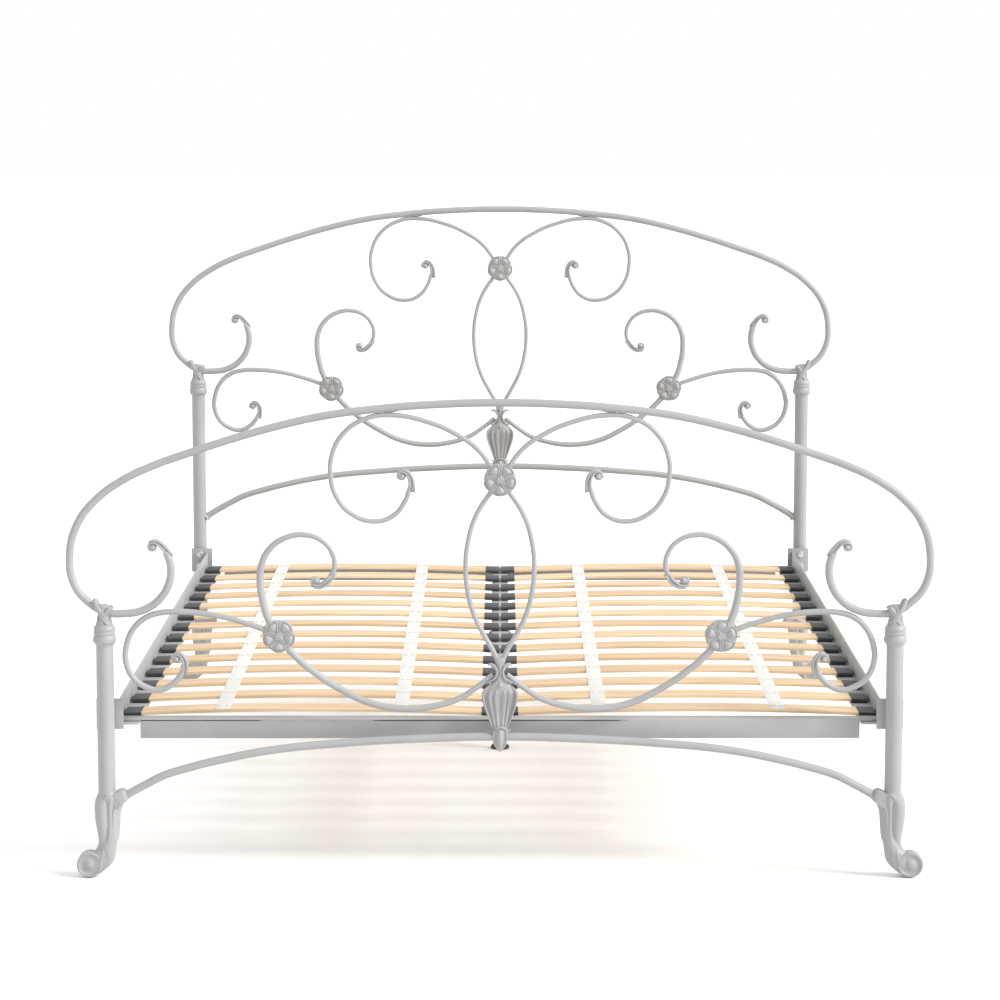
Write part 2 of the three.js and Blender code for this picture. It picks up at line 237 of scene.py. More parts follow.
def carved(mesh, strokes):
    # raises or sinks fine lines in the front and back of a casting, from [x, z, half width, height] strokes
    points = [
        (index, v.co.x, v.co.z, v.normal.y)
        for index, v in enumerate(mesh.vertices) if abs(v.normal.y) > 0.12
    ]
    lift = {}
    for stroke in strokes:
        reach = sum(math.dist(a[:2], b[:2]) for a, b in zip(stroke, stroke[1:]))
        line = finer(stroke, max(4, int(reach / 0.4)))
        tree = KDTree(len(line))
        for index, row in enumerate(line):
            tree.insert((row[0] * mm, 0, row[1] * mm), index)
        tree.balance()
        widest = max(row[2] for row in line)
        lowX, highX = (
            (edge(row[0] for row in line) + grow) * mm
            for edge, grow in ((min, -widest), (max, widest))
        )
        lowZ, highZ = (
            (edge(row[1] for row in line) + grow) * mm
            for edge, grow in ((min, -widest), (max, widest))
        )
        for vertex, x, z, facing in points:
            if lowX < x < highX and lowZ < z < highZ:
                spot, index, away = tree.find((x, 0, z))
                wide, high = line[index][2] * mm, line[index][3] * mm
                if away < wide:
                    fall = (1 - (away / wide) ** 2) ** 2 * min(1, abs(facing) * 1.6)
                    lift[vertex] = lift.get(vertex, 0) + math.copysign(high * fall, facing)
    for vertex, high in lift.items():
        mesh.vertices[vertex].co.y += high
    mesh.update()
    return mesh


class Wire:
    # a shader socket that can be used in sums
    def __init__(self, finish, socket):
        self.finish = finish
        self.socket = socket

    def sum(self, operation, first, second):
        return self.finish.node("ShaderNodeMath", {"operation": operation}, {0: first, 1: second})

    def __add__(self, other):
        return self.sum("ADD", self, other)

    def __radd__(self, other):
        return self.sum("ADD", other, self)

    def __sub__(self, other):
        return self.sum("SUBTRACT", self, other)

    def __rsub__(self, other):
        return self.sum("SUBTRACT", other, self)

    def __mul__(self, other):
        return self.sum("MULTIPLY", self, other)

    def __rmul__(self, other):
        return self.sum("MULTIPLY", other, self)


class Finish:
    # one material, built node by node
    def __init__(self, name, **constants):
        self.material = bpy.data.materials.new(name)
        self.material.use_nodes = True
        self.tree = self.material.node_tree
        self.shader = self.tree.nodes["Principled BSDF"]
        for key, value in constants.items():
            self.shader.inputs[key.replace("_", " ")].default_value = value
        self.place = self.node("ShaderNodeTexCoord", out="Object")

    def node(self, kind, settings=None, inputs=None, out=0):
        made = self.tree.nodes.new(kind)
        for key, value in (settings or {}).items():
            setattr(made, key, value)
        for key, value in (inputs or {}).items():
            if isinstance(value, Wire):
                self.tree.links.new(value.socket, made.inputs[key])
            else:
                made.inputs[key].default_value = value
        return Wire(self, made.outputs[out])

    def noise(self, scale, detail=2.0, rough=0.5, place=None):
        return self.node(
            "ShaderNodeTexNoise",
            {},
            {"Vector": place or self.place, "Scale": scale, "Detail": detail, "Roughness": rough},
        )

    def clamp(self, value, low, high, toLow=0.0, toHigh=1.0):
        return self.node(
            "ShaderNodeMapRange",
            {"interpolation_type": "SMOOTHSTEP"},
            {"Value": value, "From Min": low, "From Max": high, "To Min": toLow, "To Max": toHigh},
        )

    def mix(self, factor, first, second):
        return self.node("ShaderNodeMix", {"data_type": "RGBA"}, {0: factor, 6: first, 7: second}, 2)

    def bump(self, height, distance, strength=1.0, under=None):
        inputs = {"Height": height, "Distance": distance, "Strength": strength}
        if under:
            inputs["Normal"] = under
        return self.node("ShaderNodeBump", {}, inputs)

    def feed(self, name, value):
        self.tree.links.new(value.socket, self.shader.inputs[name])


def shade(value, warm=0.0):
    return (value * (1 + warm), value, value * (1 - warm), 1)


paintLook = {
    "body": 0.33,
    "thin": 0.305,
    # painted shade: the grey that the hollows of the castings are darkened towards
    "hollowShadeGrey": 0.21,
    "gloss": 0.36,
    "tubePeel": 0.00006,
    "castPeel": 0.00016,
}


def paintFinish(name, peel, coarse, paintsHollowShade):
    # satin stove enamel: faint mottling, orange peel, and painted shade darkening the hollows
    paint = Finish(name, IOR=1.5)
    clouds = paint.noise(7, 3)
    colour = paint.mix(
        paint.clamp(clouds, 0.35, 0.68), shade(paintLook["thin"], 0.004), shade(paintLook["body"])
    )
    if paintsHollowShade:
        # painted shade: pointiness finds the hollows, and their colour is darkened there
        hollow = paint.node("ShaderNodeNewGeometry", out="Pointiness")
        paintedHollowShade = paint.clamp(hollow, 0.40, 0.495, 1, 0) * (0.55 + 0.45 * paint.noise(60, 2))
        colour = paint.mix(paintedHollowShade * 0.6, colour, shade(paintLook["hollowShadeGrey"], 0.012))
    height = paint.node("ShaderNodeSeparateXYZ", {}, {0: paint.place}, 2)
    scuff = paint.clamp(height, 0.0, 0.045, 1, 0) * paint.clamp(paint.noise(95, 4, 0.7), 0.52, 0.66)
    colour = paint.mix(scuff * 0.35, colour, shade(0.24, 0.03))
    paint.feed("Base Color", colour)
    paint.feed("Roughness", paintLook["gloss"] + 0.16 * clouds + 0.1 * paint.noise(240, 2) + 0.12 * scuff)
    grain = paint.bump(paint.noise(coarse, 3), peel * 2.2)
    paint.feed("Normal", paint.bump(paint.noise(900, 1), peel, 1.0, grain))
    return paint.material


def steelFinish():
    steel = Finish("zincSteel", Metallic=0.95)
    drawn = steel.noise(160, 3, 0.6)
    steel.feed("Base Color", steel.mix(drawn, (0.44, 0.44, 0.45, 1), (0.66, 0.66, 0.64, 1)))
    steel.feed("Roughness", 0.26 + 0.24 * steel.noise(420, 2))
    steel.feed("Normal", steel.bump(steel.noise(1500, 2), 0.00004))
    return steel.material


woodLook = {"pitch": 142, "light": (0.70, 0.54, 0.35, 1), "dark": (0.51, 0.35, 0.20, 1)}


def woodFinish():
    # steamed beech: long grain with short flecks, each slat from another board
    wood = Finish("beech", IOR=1.45)
    split = wood.node("ShaderNodeSeparateXYZ", {}, {0: wood.place}, 1)
    board = wood.node(
        "ShaderNodeMath", {"operation": "ROUND"}, {0: split * (1000 / woodLook["pitch"]) + 0.5}
    )
    lot = wood.node("ShaderNodeTexWhiteNoise", {"noise_dimensions": "1D"}, {"W": board})
    shift = wood.node("ShaderNodeCombineXYZ", {}, {0: lot * 7, 1: lot * 3, 2: lot * 5})
    moved = wood.node("ShaderNodeVectorMath", {"operation": "ADD"}, {0: wood.place, 1: shift})
    along = wood.node("ShaderNodeMapping", {}, {"Vector": moved, "Scale": (1.2, 38, 38)})
    flecks = wood.node("ShaderNodeMapping", {}, {"Vector": moved, "Scale": (26, 420, 420)})
    grain = wood.noise(3.2, 5, 0.6, along)
    fleck = wood.noise(3, 2, 0.5, flecks)
    tone = wood.clamp(grain + 0.16 * (lot - 0.5), 0.32, 0.7)
    colour = wood.mix(tone, woodLook["dark"], woodLook["light"])
    colour = wood.mix(wood.clamp(fleck, 0.62, 0.74) * 0.4, colour, woodLook["dark"])
    wood.feed("Base Color", colour)
    wood.feed("Roughness", 0.46 + 0.18 * grain)
    wood.feed("Normal", wood.bump(grain + 0.5 * fleck, 0.00018))
    return wood.material


def plasticFinish():
    plastic = Finish("mouldedPlastic", IOR=1.48)
    spark = plastic.noise(1300, 2)
    plastic.feed(
        "Base Color",
        plastic.mix(plastic.noise(30, 3), (0.022, 0.023, 0.025, 1), (0.042, 0.043, 0.046, 1))
    )
    plastic.feed("Roughness", 0.44 + 0.2 * spark)
    plastic.feed("Normal", plastic.bump(spark, 0.00006))
    return plastic.material


def tapeFinish():
    # woven tape: ribs across, yarns along
    tape = Finish("wovenTape", IOR=1.45, Sheen_Weight=0.35)
    across = tape.node(
        "ShaderNodeTexWave", {"bands_direction": "Y"},
        {"Vector": tape.place, "Scale": 130.0, "Distortion": 0.4}
    )
    along = tape.node(
        "ShaderNodeTexWave", {"bands_direction": "X"},
        {"Vector": tape.place, "Scale": 210.0, "Distortion": 0.4}
    )
    weave = across * 0.6 + along * 0.4
    tape.feed(
        "Base Color",
        tape.mix(tape.clamp(weave, 0.2, 0.8), (0.42, 0.41, 0.38, 1), (0.66, 0.65, 0.61, 1))
    )
    tape.feed("Roughness", 0.72 + 0.2 * tape.noise(80, 2))
    tape.feed("Normal", tape.bump(weave, 0.0002))
    return tape.material


# the cast pieces get painted shade in their hollows; the tube paint gets none
tubePaint = paintFinish("tubePaint", paintLook["tubePeel"], 130, False)
castPaint = paintFinish("castPaint", paintLook["castPeel"], 210, True)
steel = steelFinish()
beech = woodFinish()
plastic = plasticFinish()
webbing = tapeFinish()
print("finishes ready")

boards = {
    "footboard": {"y": centreOf("footboard_centre_rosette").y / mm, "lift": 0.0},
    "headboard": {"y": centreOf("headboard_centre_rosette").y / mm},
}
boards["headboard"]["lift"] = (
    centreOf("headboard_centre_rosette").z - centreOf("footboard_centre_rosette").z
) / mm
post = {
    "x": centreOf("footboard_right_post").x / mm,
    "radius": 17.2,
    "wall": 2.0,
    "bottom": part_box("footboard_right_post")[0].z / mm,
    "top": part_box("footboard_right_post")[1].z / mm,
    "sunk": 22,  # the foot hides the tube up to here
    "edge": 0.6,
    "bead": 471.2,
}


def place(name, source, finish, slot="paint", body="frame", stands=(), hand=1, move=(0, 0, 0)):
    # sets a finished mesh in its place, mirrored for the left hand, and lets it ride
    mesh = source.copy()
    mesh.name = name
    mesh.transform(Matrix.Translation(Vector(move) * mm) @ Matrix.Diagonal((hand, 1, 1, 1)))
    if hand < 0:
        mesh.flip_normals()
    mesh.materials.clear()
    mesh.materials.append(finish)
    piece = bpy.data.objects.new(name, mesh)
    bpy.context.scene.collection.objects.link(piece)
    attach(piece, body)
    if stands:
        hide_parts(*stands)
    return piece


def placeOnBoards(name, source, finish, node=None, pair=False):
    for board, spot in boards.items():
        move = (0, spot["y"], spot["lift"])
        if pair:
            for side, hand in (("right", 1), ("left", -1)):
                stands = [f"{board}_{side}_{node}"] if node else []
                place(f"{board}_{side}_{name}", source, finish, stands=stands, hand=hand, move=move)
        else:
            place(f"{board}_{name}", source, finish, stands=[f"{board}_{node}"] if node else [], move=move)


# Stations are [x, z, radius] in the plane of an end, for the right hand side.
archTube = {
    "sides": 28,
    "steps": 8,
    "line": [
        (0, 954.5, 7.95),
        (130, 951, 7.95),
        (235, 943, 7.95),
        (344, 929, 7.95),
        (439, 908, 7.95),
        (534, 881, 7.95),
        (610, 856, 7.95),
        (686, 829, 7.95),
        (748, 799, 7.95),
        (797, 763, 7.95),
        (834, 716, 7.95),
        (851.1, 655, 7.95),
        (843, 592, 7.95),
        (814, 556, 7.95),
        (784, 538, 7.95),
        (746, 534.5, 7.95),
        (706, 542, 7.95),
        (675, 563, 7.95),
        (656, 594, 7.95),
        (651.5, 624, 7.95),
        (654.5, 642, 7.9),
        (657.6, 650, 7.4),
        (661.4, 657.5, 6.4),
    ],
}
crownBar = {
    "sides": 24,
    "steps": 8,
    "line": [
        (10, 817, 5),
        (46, 864, 5),
        (88, 893, 5),
        (138, 915, 5),
        (213, 930, 5),
        (266, 922.5, 5),
        (309, 893, 5),
        (331, 851, 5),
        (334, 808, 5),
        (322, 766, 5),
        (292, 733, 5),
        (248, 719, 5),
        (210, 731, 5),
        (188, 758, 5),
        (180.8, 776, 5),
        (177.8, 788, 4.2),
    ],
}
ovalBar = {
    "sides": 24,
    "steps": 8,
    "line": [
        (11, 788, 5),
        (48, 729, 5),
        (63, 679, 5),
        (68, 629, 5),
        (63, 574, 5),
        (50, 528, 5),
        (29, 486, 5),
        (12, 456, 5),
        (6, 441, 4.6),
        (4, 424, 4),
    ],
}
sweepBar = {
    "sides": 24,
    "steps": 8,
    "line": [
        (14, 411, 5.5),
        (46, 386, 5.5),
        (80, 364, 6),
        (130, 348, 6.5),
        (193, 342.5, 7),
        (256, 353, 7),
        (314, 380, 7),
        (365, 413, 7),
        (418, 461, 7.5),
        (458, 521, 7.5),
        (470, 559, 7.5),
        (475, 598, 7.5),
        (472, 632, 7),
        (457, 662, 6.5),
        (427, 685, 6),
        (386, 692, 5.5),
        (351, 679, 5),
        (332, 655, 5),
        (327.5, 631, 5),
        (330.4, 618, 4.9),
        (337.4, 608.8, 4),
    ],
}
sideBar = {
    "sides": 24,
    "steps": 8,
    "line": [
        (452, 495, 5.5),
        (473, 504, 5.5),
        (511, 517, 5.5),
        (552, 528, 5.5),
        (593, 535, 6),
        (633, 538, 6),
        (670, 536.5, 6),
        (702, 526.5, 6),
        (727, 504, 6),
        (741, 472, 6),
        (743, 437, 6),
        (728, 404, 6),
        (704, 386, 6),
        (678, 380.5, 6),
        (654, 390, 6),
        (637, 407, 5.9),
        (631.6, 416, 5.5),
        (629.2, 423, 4.4),
    ],
}
bottomRail = {
    "sides": 28,
    "steps": 8,
    "line": [
        (745, 167, 8),
        (706, 189, 8),
        (670, 207, 8),
        (617, 223.5, 8),
        (560, 238, 8),
        (450, 259, 8),
        (320, 272, 8),
        (170, 281, 8),
        (0, 285.5, 8),
    ],
    "footLead": (757, 159, 8),
    "headLead": (771, 150, 8),
}


def barMesh(name, bar, line=None):
    bm = bmesh.new()
    flatBar(bm, line or bar["line"], sides=bar["sides"], steps=bar["steps"])
    return meshOf(bm, name)


def bothHands(half):
    # the left half, then the right, through the middle station only once
    ahead = [(-x, z, radius) for x, z, radius in half]
    return ahead[::-1] + list(half[1:])


archMesh = barMesh("arch", archTube, bothHands(archTube["line"]))
placeOnBoards("arch", archMesh, tubePaint, "arch_tube")
placeOnBoards("crown_bar", barMesh("crownBar", crownBar), tubePaint, "crown_scroll", True)
placeOnBoards("oval_bar", barMesh("ovalBar", ovalBar), tubePaint, "centre_bar", True)
placeOnBoards("sweep_bar", barMesh("sweepBar", sweepBar), tubePaint, "s_scroll", True)
placeOnBoards("side_bar", barMesh("sideBar", sideBar), tubePaint, "side_scroll", True)

for board, lead in (("footboard", bottomRail["footLead"]), ("headboard", bottomRail["headLead"])):
    half = [lead] + bottomRail["line"]
    whole = [(-x, z, radius) for x, z, radius in half] + half[-2::-1]
    bm = bmesh.new()
    flatBar(bm, whole, sides=bottomRail["sides"], steps=bottomRail["steps"])
    if board == "headboard":
        # a fillet of weld where the rail meets each post
        for hand in (1, -1):
            flatBar(
                bm,
                [
                    (hand * (x - 1), z, r)
                    for x, z, r in ((762, 155.8, 8.1), (766, 153.2, 9.4), (769, 151.2, 11.6))
                ]
            )
    spot = boards[board]
    place(
        f"{board}_bottom_rail", meshOf(bm, "bottomRail"), tubePaint, stands=[f"{board}_lower_rail"],
        move=(0, spot["y"], spot["lift"])
    )

# a bead where two bars touch: the crown scroll under the arch
bm = bmesh.new()
flatBar(
    bm, [(200, 938.6, 0.6), (206, 937.9, 1.9), (214, 937.2, 2.2), (222, 936.4, 1.9), (228, 935.8, 0.6)],
    1.5
)
placeOnBoards("crown_bead", meshOf(bm, "crownBead"), tubePaint, pair=True)
print("bars bent")

# Drawn round the knob at the middle of the curl, standing as the one on the crown scroll.
leaf = {
    "voxel": 0.7,
    "deep": 2.45,
    "outer": [
        (-25.0, -33.6, 0.8),
        (-24.8, -28, 2.1),
        (-24.2, -20, 2.7),
        (-23.2, -12, 3.0),
        (-21.2, -4, 3.2),
        (-17.4, 4, 3.2),
        (-12, 9.8, 3.1),
        (-6, 12.8, 2.7),
        (-0.5, 13.6, 1.9),
        (3.6, 12.6, 1.0),
    ],
    "inner": [
        (-12.4, -28.4, 0.9),
        (-14.4, -23.4, 2.4),
        (-15.6, -17, 3.2),
        (-15.4, -9, 3.5),
        (-13.6, -2, 3.4),
        (-10.4, 4, 3.2),
        (-5.6, 8.2, 3.0),
        (0, 9.8, 2.8),
        (5, 8.4, 2.5),
        (8.2, 4.4, 2.2),
        (8.7, -0.6, 1.8),
        (7.2, -4.6, 1.1),
    ],
    "core": [
        (-20.4, -31, 1.8),
        (-20.4, -24, 3.6),
        (-19.6, -14, 3.8),
        (-17.6, -5, 3.6),
        (-13.6, 3, 3.2),
        (-8, 8.6, 2.8),
        (-2, 11, 2.2),
    ],
    # knob and web behind it: centre, half sizes; then the last turn of the curl on the knob
    "knob": ((-0.4, 0, 0.2), (6.5, 9.0, 6.5)),
    "web": ((0.6, 0, 0.8), (8.6, 5.4, 8.6)),
    "turn": [(-2, 3, 3.0), (4, 4.4, 3.2), (6.6, 1, 2.6)],
    "opens": (-8, 22),
    "spots": {
        # x, z of the knob, turn in degrees, flipped over, how far the sepals shift for the bar
        "crown": (193.6, 808.0, 0, False, (0, 0)),
        "side": (643.5, 442.5, 3, False, (3.0, 3.4)),
        "hook": (686.4, 666.4, -27, False, (-2.6, -3.4)),
        "curl": (364.2, 600.9, 36, True, (0.2, -3.2)),
    },
}


def leafMesh(name, outward, inward):
    bm = bmesh.new()

    def opened(line, shift):
        # the sepals part more and more below the knob
        start, over = leaf["opens"]
        return [(x + shift * min(max((start - z) / over, 0), 1), z, radius) for x, z, radius in line]

    flatBar(bm, opened(leaf["outer"], outward), leaf["deep"], sides=16, steps=6)
    flatBar(bm, opened(leaf["inner"], inward), leaf["deep"], sides=16, steps=6)
    flatBar(bm, opened(leaf["core"], (outward + inward) / 2), 1.3, sides=14, steps=6)
    ball(bm, *leaf["knob"])
    ball(bm, *leaf["web"])
    flatBar(bm, leaf["turn"], 1.9)
    return cast(bm, name, leaf["voxel"], 2)


for spot, (x, z, turn, over, shifts) in leaf["spots"].items():
    mesh = leafMesh(spot + "Leaf", *shifts)
    flip = Matrix.Diagonal((1, 1, -1 if over else 1, 1))
    mesh.transform(
        Matrix.Translation(Vector((x, 0, z)) * mm) @ Matrix.Rotation(-math.radians(turn), 4, "Y") @ flip
    )
    if over:
        mesh.flip_normals()
    placeOnBoards(spot + "_leaf", mesh, castPaint, pair=True)
print("leaves set")

flower = {
    "voxel": 0.68,
    "disc": [(0, 7.4), (27.5, 7.4), (30.4, 6.2), (31.8, 3.6)],
    # reach of each of the five lobes of the outline, then how long, deep and wide it is
    "lobe": (19.6, 14.0, 7.2, 14.0),
    # half of a petal's rim, its cushion, and the ray beside it: reach, then across or radius
    "rim": [
        (6.2, 0), (7.4, 2.4), (13.2, 6.7), (18.4, 10.3), (22.6, 13.0), (26.2, 13.4), (29.0, 10.6),
        (30.9, 5.6), (31.5, 0)
    ],
    "rimRadius": 1.15,
    "rimHeight": 8.6,
    "cushion": [
        (8.6, 2.6), (12, 5.0), (15.5, 7.4), (19, 9.5), (22, 10.8), (25, 10.2), (27.6, 7.2), (28.9, 2.6)
    ],
    "cushionHeight": 4.6,
    "cushionFlat": 0.72,
    "ray": [(7, 1.2, 0.5), (13, 1.5, 0.9), (20, 1.7, 1.1), (27, 1.8, 1.1), (31, 1.6, 0.6)],
    # radius, height and depth of the boss, then reach and radius of the five bumps on it
    "boss": (8.4, 6.4, 4.2),
    "bumps": ((5.4, 2.5), (4.8, 2.1), (5.7, 2.6), (5.0, 2.2), (5.4, 2.4)),
    "centre": centreOf("footboard_centre_rosette") / mm,
    "side": centreOf("footboard_right_rosette") / mm,
}


def flowerMesh(name, firstPetal):
    bm = bmesh.new()
    outline = flower["disc"]
    turned(bm, [(r, -y) for r, y in outline] + outline[::-1], axis="Y", sides=64)
    strokes = []
    for k in range(5):
        angle = math.radians(firstPetal + 72 * k)
        spoke = Matrix.Rotation(-angle, 4, "Y")

        def onPetal(points):
            turnedPoints = [spoke @ Vector(point[:3]) for point in points]
            return [(*v, point[3]) for v, point in zip(turnedPoints, points)]

        reach, long, deep, wide = flower["lobe"]
        made = bmesh.ops.create_uvsphere(bm, u_segments=32, v_segments=16, radius=mm)["verts"]
        addTo(
            bm, made,
            spoke @ Matrix.Translation((reach * mm, 0, 0)) @ Matrix.Diagonal((long, deep, wide, 1))
        )
        half = flower["rim"]
        loop = half + [(u, -v) for u, v in half[-2::-1]]
        high = flower["rimHeight"]
        flat = flower["cushionFlat"]
        for face in (-1, 1):
            rim = [(u, face * (high - 1.6 * (u / 31) ** 4), v, flower["rimRadius"]) for u, v in loop]
            sweep(bm, onPetal(rim), sides=10, steps=4)
            pad = [(u, face * flower["cushionHeight"], 0, radius) for u, radius in flower["cushion"]]
            sweep(bm, onPetal(pad), flat, sides=24, steps=5)
        edge = math.radians(firstPetal + 72 * k + 36)
        strokes.append(
            [(r * math.cos(edge), r * math.sin(edge), wide, high) for r, wide, high in flower["ray"]]
        )
    for face in (-1, 1):
        radius, high, deep = flower["boss"]
        ball(bm, (0, face * high, 0), (radius, deep, radius))
        for k, (reach, size) in enumerate(flower["bumps"]):
            a = math.radians(firstPetal + 20 + 72 * k)
            ball(bm, (reach * math.cos(a), face * (high + 3.2), reach * math.sin(a)), (size, 1.4, size), 12)
    return carved(cast(bm, name, flower["voxel"], 1), strokes)


downFlower = flowerMesh("downFlower", -90)
upFlower = flowerMesh("upFlower", 90)


def shifted(source, x, z):
    moved = source.copy()
    moved.transform(Matrix.Translation((x * mm, 0, z * mm)))
    return moved


placeOnBoards(
    "centre_flower", shifted(downFlower, flower["centre"].x, flower["centre"].z), castPaint,
    "centre_rosette"
)
for board, spot in boards.items():
    move = (0, spot["y"], spot["lift"])
    right = shifted(upFlower, flower["side"].x, flower["side"].z)
    left = shifted(downFlower, flower["side"].x, flower["side"].z)
    place(f"{board}_right_flower", right, castPaint, stands=[f"{board}_right_rosette"], move=move)
    place(f"{board}_left_flower", left, castPaint, stands=[f"{board}_left_rosette"], hand=-1, move=move)
print("flowers set")

tulip = {
    "voxel": 0.75,
    # z, centre, half width, half depth
    "body": [
        (256, 0, 3.5, 3.5),
        (263, 0, 9.0, 7.0),
        (274, 0, 13.6, 9.4),
        (290, 0, 14.6, 10.2),
        (303, 0, 15.8, 9.2),
        (314, 0, 20.0, 7.8),
        (326, 0, 24.2, 7.4),
        (342, 0, 29.4, 7.4),
        (358, 0, 34.2, 7.6),
        (368, 0, 35.6, 8.2),
        (375, 0, 34.8, 9.4),
        (382, 0, 30.6, 10.2),
        (389, 0, 24.0, 10.0),
        (396, 0, 16.6, 9.2),
        (405, 0, 9.4, 8.2),
        (416, 0, 5.6, 7.2),
        (428, 0, 7.6, 6.8),
        (440, 0, 11.0, 6.6),
        (446, 0, 9.0, 6.0),
    ],
    # share of the half width at which each rib runs, and its radius at the shoulder
    "ribs": ((0.24, 1.9), (0.57, 2.0)),
    # share of a rib's radius at each height
    "ribSwell": (
        (303, 0.5), (316, 0.62), (330, 0.75), (345, 0.88), (358, 1.0), (368, 1.0), (376, 0.8),
        (381, 0.4)
    ),
    # z, radius of the edge outside the ribs
    "rolledEdge": (
        (300, 1.2), (310, 1.7), (324, 2.1), (340, 2.4), (355, 2.7), (367, 2.8), (377, 2.4), (384, 1.6),
        (389, 0.8)
    ),
    # x, z, radius in the plane of the end
    "barb": ((13, 292, 2.6), (17, 297, 2.2), (20.5, 301.0, 1.4), (23, 303.6, 0.5)),
    "tip": ((15, 390, 3), (21, 395.4, 2.4), (26, 399.0, 1.5), (29.5, 400.4, 0.6)),
    "curl": ((6, 420, 3.6), (10.4, 428, 3.2), (16, 431.6, 2.4), (21.4, 431.4, 1.6), (24.4, 428.8, 0.7)),
    # z, half width, height of a flute
    "flute": (
        (310, 1.0, -0.4), (326, 1.5, -1.3), (345, 2.0, -2.1), (362, 2.3, -2.4), (374, 2.0, -1.8),
        (380, 1.2, -0.5)
    ),
    # x, z of the line inside the tongue leaf's edge
    "tongueLine": ((9.6, 299), (9.4, 287), (8.2, 275), (5, 266)),
    # x, y, z, radius on the front face
    "neckLeaf": (
        (29.4, 5, 393.4, 0.6), (22.6, 7.6, 397.6, 1.6), (15.4, 8.6, 401.6, 2.0), (9.2, 8.6, 407, 2.2),
        (6.0, 7.8, 415.6, 2.2), (8.4, 7.0, 426.4, 2.2), (14.6, 5.8, 432.4, 2.0),
        (20.6, 4.4, 432.4, 1.5), (24.2, 3.2, 429.4, 0.6)
    ),
    "tongueLeaf": (
        (12.8, 8.0, 300, 1.2), (12.6, 8.2, 287, 1.5), (11.0, 7.4, 274, 1.5), (7.0, 5.2, 264, 1.2),
        (2, 2.5, 257.6, 0.7)
    ),
    "blade": (
        (0, 9.0, 303, 1.2), (0, 7.6, 297, 5.2), (0, 7.4, 285, 6.2), (0, 6.0, 272, 5.4),
        (0, 3.8, 262, 3.4), (0, 1.4, 256.2, 1.4)
    ),
    "band": (
        (-15, 5.6, 296, 0.9), (-12, 8.4, 301.6, 1.4), (-7, 10.6, 304.6, 1.7), (0, 11.4, 306, 1.8),
        (7, 10.6, 304.6, 1.7), (12, 8.4, 301.6, 1.4), (15, 5.6, 296, 0.9)
    ),
    "seam": (
        (0, 5, 404, 0.6), (0, 8.4, 412, 1.0), (0, 7.6, 424, 1.1), (0, 6.8, 436, 1.0), (0, 5, 446, 0.5)
    ),
    "boss": (0, 391, 4.4),
}


def tulipMesh():
    bm = bmesh.new()
    body = tulip["body"]
    stacked(bm, finer(body, 56), 48)
    for face in (-1, 1):

        def onFace(points, hand=1):
            return [(hand * x, face * y, z, radius) for x, y, z, radius in points]

        for hand in (-1, 1):
            # bold ribs that draw together down the body, and the rolled edge outside them
            for share, radius in tulip["ribs"]:
                rib = []
                for z, swell in tulip["ribSwell"]:
                    halfX, halfY = onLevels(body, z)[1:]
                    rib.append(
                        (
                            hand * share * halfX, face * (halfY * math.sqrt(1 - share**2) + 1.0), z,
                            radius * swell
                        )
                    )
                sweep(bm, rib, 1.0, sides=12, steps=4)
            edge = []
            for z, radius in tulip["rolledEdge"]:
                halfX, halfY = onLevels(body, z)[1:]
                edge.append((hand * (halfX - 2.0), face * 5.4, z, radius))
            sweep(bm, edge, sides=12, steps=4)
            # leaf edges up the neck
            sweep(bm, onFace(tulip["neckLeaf"], hand), sides=10, steps=5)
            # edges of the tongue leaf below
            sweep(bm, onFace(tulip["tongueLeaf"], hand), sides=10, steps=5)
        x, z, radius = tulip["boss"]
        ball(bm, (x, face * 10.2, z), (radius, 4.2, radius), 16)
        sweep(bm, onFace(tulip["seam"]), sides=10, steps=4)
        sweep(bm, onFace(tulip["blade"]), sides=16, steps=5)
        sweep(bm, onFace(tulip["band"]), sides=10, steps=5)
    for hand in (-1, 1):
        # barbs at the waist, points at the shoulder, and the leaf that curls out under the oval
        barb = [(hand * x, z, r) for x, z, r in tulip["barb"]]
        tip = [(hand * x, z, r) for x, z, r in tulip["tip"]]
        curl = [(hand * x, z, r) for x, z, r in tulip["curl"]]
        flatBar(bm, barb, 1.8)
        flatBar(bm, tip, 1.8)
        flatBar(bm, curl, 2.0)
    strokes = []
    for hand in (-1, 1):
        for share in (0, *(share for share, radius in tulip["ribs"]), 0.86):
            for beside in (-2.9, 2.9):
                if share in (0, 0.86) and beside * share <= 0:
                    continue
                flute = []
                for z, wide, high in tulip["flute"]:
                    halfX, halfY = onLevels(body, z)[1:]
                    flute.append((hand * (share * halfX + beside * halfX / 35), z, wide, high))
                strokes.append(flute)
    for x in (-2.7, 2.7):
        strokes.append(
            [
                (x * 1.1, 400, 0.8, -0.3), (x, 410, 1.2, -1.2), (x, 424, 1.3, -1.3),
                (x * 1.5, 436, 1.2, -1.0), (x * 2, 446, 0.8, -0.3)
            ]
        )
    for hand in (-1, 1):
        strokes.append([(hand * x, z, 1.2, -1.1) for x, z in tulip["tongueLine"]])
    return carved(cast(bm, "tulip", tulip["voxel"], 1), strokes)


placeOnBoards("tulip", tulipMesh(), castPaint, "urn_casting")
print("tulips set")

